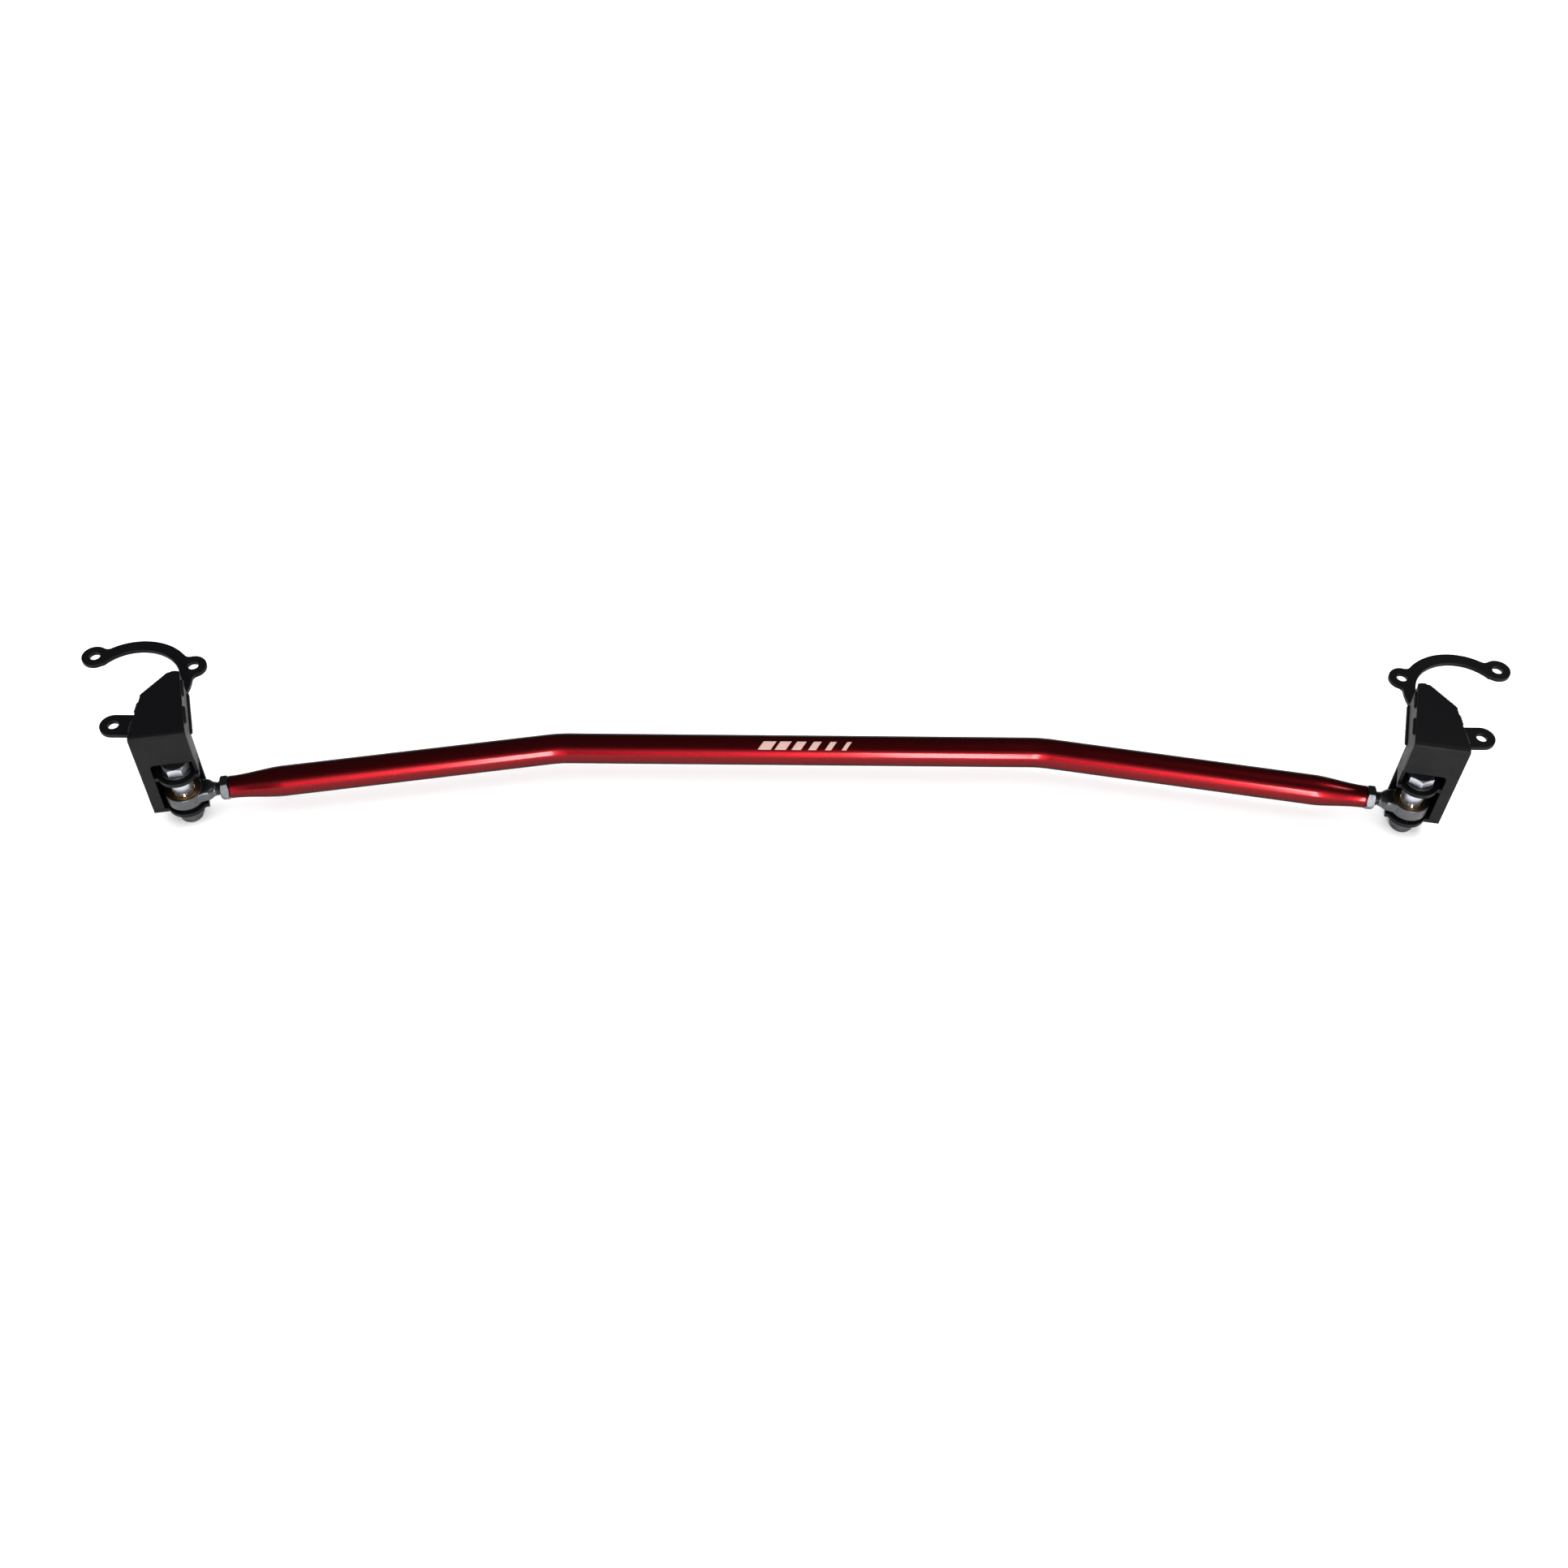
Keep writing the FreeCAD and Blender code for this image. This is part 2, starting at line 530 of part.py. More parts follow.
END_PIECES = {
    "ear_plate": ear_plate,
    "box_shell": box_shell,
    "outboard_side_plate": outboard_side_plate,
    "inboard_side_plate": inboard_side_plate,
    "rear_gusset": rear_gusset,
    "leg_back_plate": leg_back_plate,
    "upper_lug": upper_lug,
    "lower_lug": lower_lug,
    "washers": washers,
    "upper_spacer": upper_spacer,
    "lower_spacer": lower_spacer,
    "lock_nut": lock_nut,
    "nylon_ring": nylon_ring,
    "rod_end_body": rod_end_body,
    "rod_end_race": rod_end_race,
    "rod_end_ball": rod_end_ball,
    "jam_nut": jam_nut,
}


def write(name, shape):
    """Checks a node's solids and writes its STEP file."""
    for solid in shape.Solids:
        assert solid.isValid() and solid.Volume > 0, name
    assert shape.Solids, name
    shape.exportStep(os.path.join("parts", name + ".step"))
    box = shape.BoundBox
    print(f"{name:28s} solids {len(shape.Solids)} volume {shape.Volume:10.1f} "
          f"x {box.XMin:8.2f} {box.XMax:8.2f} y {box.YMin:7.2f} {box.YMax:7.2f} "
          f"z {box.ZMin:7.2f} {box.ZMax:7.2f}")


os.makedirs("parts", exist_ok=True)
write("bar_tube", bar_tube())
write("left_pivot_bolt", to_row(pivot_bolt(LEFT_HEAD_TURN)))
write("right_pivot_bolt", mirrored(to_row(pivot_bolt(RIGHT_HEAD_TURN))))
for piece_name, make in END_PIECES.items():
    left = to_row(make())
    write("left_" + piece_name, left)
    write("right_" + piece_name, mirrored(left))
print(f"bar end angle {math.degrees(END_ANGLE):.2f} degrees, eye at "
      f"{to_row(Part.Vertex(flat(PIVOT.x, PIVOT.y, EYE_W))).Point}")
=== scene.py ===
"""Looks of a front strut-tower brace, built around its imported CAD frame.

A red tube carries a rod end at each end.  Each rod end pivots on an upright bolt in a welded black
bracket.  Everything is in metres, in the frame's own axes: +X along the bar, +Y to the rear, +Z up.
"""
import json
import logging
import math
from dataclasses import dataclass, field
from enum import Enum
from typing import Any, Callable, Optional, Sequence

import bmesh
import bpy
import numpy as np
from mathutils import Matrix, Vector


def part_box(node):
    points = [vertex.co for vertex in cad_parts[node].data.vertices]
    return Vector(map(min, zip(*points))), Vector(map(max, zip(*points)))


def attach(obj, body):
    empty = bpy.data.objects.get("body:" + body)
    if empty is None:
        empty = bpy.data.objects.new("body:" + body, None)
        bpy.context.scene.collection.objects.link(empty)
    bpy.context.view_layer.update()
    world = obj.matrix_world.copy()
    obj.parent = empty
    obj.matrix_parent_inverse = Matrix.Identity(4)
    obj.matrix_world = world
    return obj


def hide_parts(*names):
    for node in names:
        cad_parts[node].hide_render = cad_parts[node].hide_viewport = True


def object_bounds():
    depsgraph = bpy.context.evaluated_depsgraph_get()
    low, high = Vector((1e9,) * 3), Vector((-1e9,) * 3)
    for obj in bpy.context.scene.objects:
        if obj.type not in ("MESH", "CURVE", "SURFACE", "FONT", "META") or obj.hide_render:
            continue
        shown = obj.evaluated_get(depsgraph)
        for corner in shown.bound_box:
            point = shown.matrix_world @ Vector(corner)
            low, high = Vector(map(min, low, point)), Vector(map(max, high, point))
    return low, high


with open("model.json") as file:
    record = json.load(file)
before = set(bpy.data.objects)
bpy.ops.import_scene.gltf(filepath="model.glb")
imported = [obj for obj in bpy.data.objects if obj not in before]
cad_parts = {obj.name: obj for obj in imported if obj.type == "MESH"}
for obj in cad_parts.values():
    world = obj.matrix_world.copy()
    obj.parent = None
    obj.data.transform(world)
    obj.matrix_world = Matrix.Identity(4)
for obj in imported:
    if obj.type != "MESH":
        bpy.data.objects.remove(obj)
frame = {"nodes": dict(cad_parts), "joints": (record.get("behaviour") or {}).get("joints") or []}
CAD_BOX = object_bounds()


LOG = logging.getLogger("strut_brace")
MM = 0.001
TURN = 2 * math.pi
SAME_POINT = 0.001 * MM             # points nearer than this are one point
SAME_CAD_POINT = 0.002 * MM         # the same, for the CAD meshes
HINT = 0.01                         # share of a direction that only settles ties
UPRIGHT = 0.9                       # an axis with more of Z than this counts as upright
ROUND_STEPS = 96                    # steps round a turned piece
HEX_STEPS = 144                     # steps round a nut or bolt: a multiple of six
SHARP_HEX_DEG = 25.0                # edges of nuts and bolts that turn by more stay sharp
SHARP_PLATE_DEG = 30.0              # the same, for plates
BEVEL_DEG = 40.0                    # plate edges that turn by more are rounded
HEX_TURN = math.pi / 3              # from one flat of a hexagon to the next
HEX_CHAMFER_DEG = 30.0              # slope of a nut's or bolt head's corner chamfer
THREAD_STRETCH = 1.25               # of the thread's wave, which flattens crest and root
THREAD_STEPS = 8                    # points along one turn of a thread or one weld ripple
CLOUD_RANGE = (0.3, 0.7)            # noise values between which a roughness goes low to high
FLECK_RANGE = (0.55, 0.75)          # noise values between which a fleck fades in


# ---- sides -------------------------------------------------------------------------------------
class Side(Enum):
    """The two ends of the brace; the value is the way along X that points inboard."""

    LEFT = 1
    RIGHT = -1

    @property
    def label(self) -> str:
        """The word that the CAD node and body names start with."""
        return self.name.lower()

    def node(self, piece: str) -> str:
        """The name of a CAD node of this end."""
        return f"{self.label}_{piece}"

    def way(self, inboard: float, rear: float, up: float) -> np.ndarray:
        """A direction given as inboard, rear and up parts, in the frame's axes."""
        return np.array([inboard * self.value, rear, up], dtype=float)


HEAD_TURNS_DEG = {Side.LEFT: 9.8, Side.RIGHT: 20.0}     # as each bolt was left by its spanner


def eye_centre(side: Side) -> np.ndarray:
    """The centre of a rod end's ball, which is where its joints are.

    Args:
        side: The end of the brace.

    Returns:
        The point in the row frame.
    """
    joint = next(j for j in frame["joints"] if j["name"] == f"{side.label}_tilt")
    return np.array(joint["pos_m"], dtype=float)


def node_points(node: str) -> np.ndarray:
    """The vertices of a CAD node.

    Args:
        node: The CAD node.

    Returns:
        One row of three for each vertex.
    """
    mesh = frame["nodes"][node].data
    flat = np.empty(len(mesh.vertices) * 3)
    mesh.vertices.foreach_get("co", flat)
    return flat.reshape(-1, 3)


def extreme(node: str, way: np.ndarray) -> np.ndarray:
    """The vertex of a CAD node that reaches furthest one way.

    Args:
        node: The CAD node.
        way: The direction; small parts of it settle ties.

    Returns:
        The vertex.
    """
    points = node_points(node)
    return points[np.argmax(points @ way)]


# ---- surfaces ----------------------------------------------------------------------------------
@dataclass
class Shell:
    """One closed or open surface: its points and its four-sided faces."""

    points: np.ndarray
    quads: np.ndarray

    def outward(self) -> "Shell":
        """Turns the faces round if the signed volume that they enclose is negative.

        The volume is the sum over triangles of first corner . (second corner x third corner).

        Returns:
            The surface, faces outward.
        """
        corner = self.points[self.quads]
        halves = [corner[:, (0, 1, 2)], corner[:, (0, 2, 3)]]
        volume = sum(np.einsum("ij,ij->", half[:, 0], np.cross(half[:, 1], half[:, 2]))
                     for half in halves)
        return Shell(self.points, self.quads[:, ::-1]) if volume < 0 else self


def grid_shell(points: np.ndarray, wrap_rows: bool, wrap_columns: bool) -> Shell:
    """Joins a grid of points into four-sided faces.

    Face (i, j) has the corners (i, j), (i, j+1), (i+1, j+1) and (i+1, j), where a wrapped
    direction counts round.

    Args:
        points: Array of rows by columns by three.
        wrap_rows: Whether the last row joins the first.
        wrap_columns: Whether the last column joins the first.

    Returns:
        The surface, faces not yet checked for direction.
    """
    rows, columns = points.shape[:2]
    i = np.arange(rows if wrap_rows else rows - 1)[:, None]
    j = np.arange(columns if wrap_columns else columns - 1)[None, :]
    below, beside = (i + 1) % rows, (j + 1) % columns
    corners = [i * columns + j, i * columns + beside, below * columns + beside,
               below * columns + j]
    quads = np.stack([np.broadcast_to(c, (i.size, j.size)) for c in corners], axis=-1)
    return Shell(points.reshape(-1, 3), quads.reshape(-1, 4))


def make_object(name: str, shells: Sequence[Shell], sharp_deg: float = 35.0) -> bpy.types.Object:
    """Puts surfaces into one mesh object at the origin, with doubles merged.

    Args:
        name: The object's name.
        shells: The surfaces.
        sharp_deg: Edges that turn by more than this stay sharp.

    Returns:
        The object, linked to the scene.
    """
    starts = np.cumsum([0] + [len(shell.points) for shell in shells])
    points = np.concatenate([shell.points for shell in shells])
    quads = np.concatenate([shell.quads + start for shell, start in zip(shells, starts)])
    mesh = bpy.data.meshes.new(name)
    mesh.from_pydata(points, [], quads)
    work = bmesh.new()
    work.from_mesh(mesh)
    bmesh.ops.remove_doubles(work, verts=work.verts, dist=SAME_POINT)
    work.to_mesh(mesh)
    work.free()
    smooth(mesh, sharp_deg)
    piece = bpy.data.objects.new(name, mesh)
    bpy.context.scene.collection.objects.link(piece)
    return piece


def smooth(mesh: bpy.types.Mesh, sharp_deg: float) -> None:
    """Shades a mesh smooth, with its tighter edges kept sharp.

    Args:
        mesh: The mesh.
        sharp_deg: Edges that turn by more than this stay sharp.
    """
    mesh.polygons.foreach_set("use_smooth", np.ones(len(mesh.polygons), dtype=bool))
    mesh.set_sharp_from_angle(angle=math.radians(sharp_deg))
    mesh.update()


def square_frame(axis: np.ndarray) -> tuple[np.ndarray, np.ndarray]:
    """Two unit directions square to an axis and to each other, the first one level.

    Args:
        axis: A unit direction.

    Returns:
        For an upright axis, X and Y; otherwise the level direction and the one above it.
    """
    if abs(axis[2]) > UPRIGHT:
        return np.array([1.0, 0, 0]), np.array([0, 1.0, 0])
    level = np.cross(np.array([0, 0, 1.0]), axis)
    level /= np.linalg.norm(level)
    return level, np.cross(axis, level)


Limit = Callable[[np.ndarray, np.ndarray, np.ndarray], np.ndarray]


def lathe(profile: np.ndarray, centre: np.ndarray, axis: np.ndarray, segments: int,
          closed: bool, limit: Optional[Limit] = None) -> Shell:
    """A profile turned about an axis.

    The point at profile step i and angle a is centre + axis * height_i + radius_i * (cos a *
    first + sin a * second), where the two directions are square to the axis.

    Args:
        profile: Rows of radius and height.
        centre: The point of the axis at height zero.
        axis: The unit direction of the axis.
        segments: Steps round the axis.
        closed: Whether the profile's last point joins its first.
        limit: Changes the radius from (radius, height, angle), for hexagons and threads.

    Returns:
        The surface, faces outward.
    """
    first, second = square_frame(axis)
    angle = np.linspace(0, TURN, segments, endpoint=False)[None, :]
    radius = np.broadcast_to(profile[:, :1], (len(profile), segments))
    height = np.broadcast_to(profile[:, 1:], (len(profile), segments))
    if limit is not None:
        radius = limit(radius, height, np.broadcast_to(angle, radius.shape))
    ring = np.cos(angle)[..., None] * first + np.sin(angle)[..., None] * second
    points = centre + height[..., None] * axis + radius[..., None] * ring
    return grid_shell(points, closed, True).outward()


def rounded_ring(inner: float, outer: float, low: float, high: float,
                 edge: float, steps: int = 5) -> np.ndarray:
    """The closed section of a ring with quarter-round edges.

    Each corner is a quarter circle of radius edge about a centre set in by edge both ways.

    Args:
        inner: Bore radius.
        outer: Outer radius.
        low: Lower face.
        high: Upper face.
        edge: Radius of the edges.
        steps: Points on each quarter circle.

    Returns:
        Rows of radius and height, counter-clockwise.
    """
    turn = np.linspace(0, math.pi / 2, steps)
    corners = [(outer - edge, high - edge, 0.0), (inner + edge, high - edge, math.pi / 2),
               (inner + edge, low + edge, math.pi), (outer - edge, low + edge, 1.5 * math.pi)]
    arcs = [np.stack([r + edge * np.cos(turn + start), h + edge * np.sin(turn + start)], axis=1)
            for r, h, start in corners]
    return np.concatenate(arcs)


def blend(value: np.ndarray, start: float, end: float) -> np.ndarray:
    """The smooth step 3t^2 - 2t^3, where t goes from 0 at start to 1 at end."""
    t = np.clip((value - start) / (end - start), 0, 1)
    return t * t * (3 - 2 * t)


def thread_depth(height: np.ndarray, angle: np.ndarray, pitch: float) -> np.ndarray:
    """How far under its crest a right-hand thread lies, as a share of its depth.

    The share is a triangle wave of height / pitch - angle / turn, stretched by a quarter about
    its middle and cut off at 0 and 1, which flattens crest and root.

    Args:
        height: Height along the thread's axis.
        angle: Angle round the axis.
        pitch: Height of one turn.

    Returns:
        The share, from 0 at the crest to 1 at the root.
    """
    phase = (height / pitch - angle / TURN) % 1.0
    return np.clip(THREAD_STRETCH * np.abs(2 * phase - 1) - (THREAD_STRETCH - 1) / 2, 0, 1)


def hexagon_radius(angle: np.ndarray, across_flats: float, turn: float) -> np.ndarray:
    """Radius of a hexagon: half its width across flats over the cosine of the angle to the
    nearest flat.

    Args:
        angle: Angles at which the radius is wanted.
        across_flats: Width from flat to flat.
        turn: The angle that one flat faces.

    Returns:
        The radius at each angle.
    """
    off = (angle - turn + HEX_TURN / 2) % HEX_TURN - HEX_TURN / 2
    return across_flats / 2 / np.cos(off)


def hexagon_cone(across_flats: float, flat_inset: float,
                 corner_margin: float) -> tuple[np.ndarray, np.ndarray]:
    """The cone that chamfers a hexagon's corners.

    Args:
        across_flats: Width from flat to flat.
        flat_inset: How far the round flat face lies inside the flats.
        corner_margin: How far the cone runs out past the corners.

    Returns:
        Radii from the flat face outwards, and their rise along the axis.
    """
    flat_radius = across_flats / 2 - flat_inset
    corner = across_flats / 2 / math.cos(HEX_TURN / 2) + corner_margin
    radius = np.linspace(flat_radius, corner, 9)
    return radius, (radius - flat_radius) * math.tan(math.radians(HEX_CHAMFER_DEG))


def softened(node: str, edge: float, segments: int = 2) -> bpy.types.Object:
    """A CAD node's shape with its edges rounded, in place of the node.

    The copy's doubles are merged, flat areas become single faces, and a bevel rounds the edges.

    Args:
        node: The CAD node to stand for.
        edge: Width of the rounded edge.
        segments: Faces across the rounded edge.

    Returns:
        The new piece, which replaces the node.
    """
    piece = bpy.data.objects.new(f"{node}_finished", frame["nodes"][node].data.copy())
    bpy.context.scene.collection.objects.link(piece)
    work = bmesh.new()
    work.from_mesh(piece.data)
    bmesh.ops.remove_doubles(work, verts=work.verts, dist=SAME_CAD_POINT)
    bmesh.ops.dissolve_limit(work, angle_limit=math.radians(1), verts=work.verts,
                             edges=work.edges)
    work.to_mesh(piece.data)
    work.free()
    smooth(piece.data, SHARP_PLATE_DEG)
    bevel = piece.modifiers.new("rounded edges", "BEVEL")
    bevel.width = edge
    bevel.segments = segments
    bevel.limit_method = "ANGLE"
    bevel.angle_limit = math.radians(BEVEL_DEG)
    bevel.use_clamp_overlap = False
    bevel.harden_normals = True
    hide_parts(node)
    return piece


# ---- finishes ----------------------------------------------------------------------------------
def linear(colour: str) -> tuple[float, float, float, float]:
    """Turns an sRGB colour to linear light.

    A channel c becomes c / 12.92 up to 0.04045, and ((c + 0.055) / 1.055) to the power 2.4 above.

    Args:
        colour: The colour as #RRGGBB.

    Returns:
        Linear red, green and blue, and an alpha of one.
    """
    parts = [int(colour[i:i + 2], 16) / 255 for i in (1, 3, 5)]
    channels = [c / 12.92 if c <= 0.04045 else ((c + 0.055) / 1.055) ** 2.4 for c in parts]
    return (channels[0], channels[1], channels[2], 1.0)


def add_node(tree: bpy.types.NodeTree, kind: str, inputs: dict[str, Any],
             **settings: Any) -> bpy.types.Node:
    """Adds a node to a tree with its settings, values and links.

    Args:
        tree: The node tree.
        kind: Blender's name for the node.
        inputs: For each socket, a value or another node's output to link from.
        settings: Properties of the node.

    Returns:
        The node.
    """
    node = tree.nodes.new(kind)
    for name, value in settings.items():
        setattr(node, name, value)
    for name, value in inputs.items():
        socket = node.inputs[int(name)] if name.isdigit() else node.inputs[name]
        if isinstance(value, bpy.types.NodeSocket):
            tree.links.new(value, socket)
        else:
            socket.default_value = value
    return node


def per_metre(grain: float) -> float:
    """The noise scale that makes features about this many metres across."""
    return 1.0 / grain


@dataclass(frozen=True)
class Finish:
    """A surface: a cloudy colour with fine flecks, a roughness that varies, and a fine relief."""

    name: str
    colour: str
    other_colour: str
    metallic: float
    roughness: float
    roughness_spread: float
    patch: float
    grain: float
    relief: float
    coat: float = 0.0
    coat_roughness: float = 0.0
    fleck: str = "#000000"
    fleck_share: float = 0.0
    fleck_size: float = 0.5 * MM        # a zinc spangle's; a paint flake's is finer
    sockets: dict[str, Any] = field(default_factory=dict)

    def material(self) -> bpy.types.Material:
        """Builds the material once, and gives the same one after that.

        Returns:
            The node material: cloudy colour and roughness of size patch, flecks of fleck size,
            and relief of size grain.
        """
        made = bpy.data.materials.get(self.name)
        if made is not None:
            return made
        made = bpy.data.materials.new(self.name)
        made.use_nodes = True
        tree = made.node_tree
        tree.nodes.clear()
        place = add_node(tree, "ShaderNodeTexCoord", {}).outputs["Object"]
        cloud = add_node(tree, "ShaderNodeTexNoise", {"Vector": place, "Detail": 3.0,
                                                     "Scale": per_metre(self.patch)})
        colour = add_node(tree, "ShaderNodeMix", {
            "Factor": cloud.outputs["Fac"], "6": linear(self.colour),
            "7": linear(self.other_colour)}, data_type="RGBA")
        flecks = add_node(tree, "ShaderNodeTexNoise", {"Vector": place, "Detail": 1.0,
                                                       "Scale": per_metre(self.fleck_size)})
        share = add_node(tree, "ShaderNodeMapRange", {
            "Value": flecks.outputs["Fac"], "From Min": FLECK_RANGE[0],
            "From Max": FLECK_RANGE[1], "To Min": 0.0, "To Max": self.fleck_share})
        flecked = add_node(tree, "ShaderNodeMix", {
            "Factor": share.outputs["Result"], "6": colour.outputs[2],
            "7": linear(self.fleck)}, data_type="RGBA")
        rough = add_node(tree, "ShaderNodeMapRange", {
            "Value": cloud.outputs["Fac"], "From Min": CLOUD_RANGE[0],
            "From Max": CLOUD_RANGE[1],
            "To Min": self.roughness - self.roughness_spread,
            "To Max": self.roughness + self.roughness_spread})
        grain = add_node(tree, "ShaderNodeTexNoise", {"Vector": place, "Detail": 2.0,
                                                      "Scale": per_metre(self.grain)})
        bump = add_node(tree, "ShaderNodeBump", {"Height": grain.outputs["Fac"],
                                                 "Distance": self.relief, "Strength": 1.0})
        shader = add_node(tree, "ShaderNodeBsdfPrincipled", {
            "Base Color": flecked.outputs[2], "Metallic": self.metallic,
            "Roughness": rough.outputs["Result"], "Normal": bump.outputs["Normal"],
            "Coat Weight": self.coat, "Coat Roughness": self.coat_roughness, **self.sockets})
        add_node(tree, "ShaderNodeOutputMaterial", {"Surface": shader.outputs["BSDF"]})
        return made


# Steel tube, polished, sprayed with a translucent red over a bright base and clear-coated: deep
# wine red where it reflects little, clear red where it reflects light, with sharp gloss on top.
# The thick colour seen at a slant darkens its edges.  The base's flake is drawn coarser than the
# real one, so that it shows.
CANDY_RED = Finish("candy_red_clearcoated_steel", "#62090F", "#58070D", 1.0, 0.34, 0.03,
                   40 * MM, 2.0 * MM, 0.004 * MM, coat=0.22, coat_roughness=0.11,
                   fleck="#A8121E", fleck_share=0.5,
                   sockets={"Specular Tint": linear("#3A0A0E")})
# Sheet steel, blasted and powder-coated: satin black with a fine orange peel and grey specks,
# both drawn a little coarser than the real ones.
POWDER_BLACK = Finish("satin_black_powder_coated_steel", "#060607", "#040405", 0.0, 0.52, 0.05,
                      12 * MM, 1.3 * MM, 0.05 * MM, fleck="#151518", fleck_share=0.5,
                      sockets={"Specular IOR Level": 0.12})
# Cold-formed and turned steel, bright zinc plate: bluish silver, a little cloudy and spangled.
BRIGHT_ZINC = Finish("bright_zinc_plated_steel", "#C6C8D0", "#B2B4BA", 1.0, 0.36, 0.05,
                     3 * MM, 0.5 * MM, 0.004 * MM, fleck="#B4B9C2", fleck_share=0.4)
# Zinc plate painted darker than the bolt's: a painted shade that keeps the nuts and washers darker
# than the bolt head.
ZINC_PAINTED_SHADE = Finish("passivated_zinc_plated_steel", "#55565A", "#47484B", 1.0, 0.42, 0.05,
                   3 * MM, 0.5 * MM, 0.004 * MM, fleck="#6A6C70", fleck_share=0.4)
# Forged steel, tumbled and zinc plated, with the forging's soft skin; its darker grey is painted
# shade on the rod end.
FORGING_PAINTED_SHADE = Finish("zinc_plated_forging", "#58595B", "#494A4C", 1.0, 0.40, 0.06,
                     4 * MM, 0.9 * MM, 0.02 * MM, fleck="#808388", fleck_share=0.5)
# Ground and hard-chromed steel ball: mirror-bright.
HARD_CHROME = Finish("hard_chromed_steel", "#B0B2B5", "#A6A8AB", 1.0, 0.09, 0.02,
                     5 * MM, 1.0 * MM, 0.0005 * MM)
# Turned bronze bearing race: warm brown gold, dulled.
BRONZE = Finish("turned_bronze", "#A9773A", "#8C5F2C", 1.0, 0.36, 0.06,
                3 * MM, 0.4 * MM, 0.01 * MM)
# Moulded natural nylon: milky, slightly waxy.
NYLON = Finish("moulded_natural_nylon", "#DDD8C8", "#D2CDBC", 0.0, 0.42, 0.05,
               3 * MM, 0.5 * MM, 0.01 * MM, sockets={"Subsurface Weight": 0.15,
                                                    "Subsurface Scale": 0.001})
# Silver ink, pad-printed so thin that the red shows through: a pinkish grey, half dull.
PRINT_INK = Finish("pad_printed_silver_ink", "#A88880", "#9A7A72", 0.0, 0.40, 0.04,
                   4 * MM, 0.4 * MM, 0.002 * MM)
# Matt white paper: an even, pale floor without gloss.
PAPER = Finish("matt_paper", "#FBFBFB", "#F8F8F8", 0.0, 0.9, 0.02, 300 * MM, 1.0 * MM, 0.002 * MM)


def dress(piece: bpy.types.Object, finish: Finish, body: str) -> None:
    """Gives a piece its material and its CAD body, and logs it.

    Args:
        piece: The object.
        finish: Its finish.
        body: The CAD body that it moves with.
    """
    piece.data.materials.clear()
    piece.data.materials.append(finish.material())
    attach(piece, body)
    LOG.info("%s: %s, on %s, %d faces", piece.name, finish.name, body, len(piece.data.polygons))


# ---- bar ---------------------------------------------------------------------------------------
@dataclass
class BarAxis:
    """The bar's centre line: a straight middle, an arc at each bend and straight ends."""

    bend_half_spacing: float = 202 * MM
    bend_radius: float = 110 * MM
    height: float = field(init=False)
    tube_radius: float = field(init=False)
    middle_rear: float = field(init=False)
    end_angle: float = field(init=False)
    arc_start: float = field(init=False)
    arc_end: float = field(init=False)
    eye_distance: float = field(init=False)

    def __post_init__(self) -> None:
        """Takes the tube's height, radius and set-back and the eyes' places from the frame."""
        low, high = (np.array(corner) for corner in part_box("bar_tube"))
        eye = eye_centre(Side.RIGHT)
        self.height = (low[2] + high[2]) / 2
        self.tube_radius = (high[2] - low[2]) / 2
        self.middle_rear = high[1] - self.tube_radius
        run, drop = eye[0] - self.bend_half_spacing, self.middle_rear - eye[1]
        self.end_angle = math.atan2(drop, run)
        tangent = self.bend_radius * math.tan(self.end_angle / 2)
        self.arc_start = self.bend_half_spacing - tangent
        self.arc_end = self.arc_start + self.bend_radius * self.end_angle
        self.eye_distance = self.arc_end + math.hypot(run, drop) - tangent

    def carry(self, distance: np.ndarray) -> tuple[np.ndarray, np.ndarray]:
        """Points and forward-level normals of the centre line.

        At distance d from the middle the line has turned by t = (|d| - arc start) / radius,
        held between nothing and the end angle: along the arc the point goes by radius * sin t and
        radius * (1 - cos t), and past it by the rest of the distance along the turned direction.

        Args:
            distance: Signed distance along the line from the middle of the bar.

        Returns:
            The points, and the unit level normals that face the front.
        """
        length = np.abs(distance)
        turned = np.clip((length - self.arc_start) / self.bend_radius, 0, self.end_angle)
        rest = np.maximum(length - self.arc_end, 0)
        out = (np.minimum(length, self.arc_start) + self.bend_radius * np.sin(turned)
               + rest * np.cos(turned))
        ahead = self.bend_radius * (1 - np.cos(turned)) + rest * np.sin(turned)
        sign = np.sign(distance)
        points = np.stack([sign * out, self.middle_rear - ahead,
                           np.full_like(out, self.height)], axis=-1)
        normal = np.stack([-sign * np.sin(turned), -np.cos(turned), np.zeros_like(out)], axis=-1)
        return points, normal


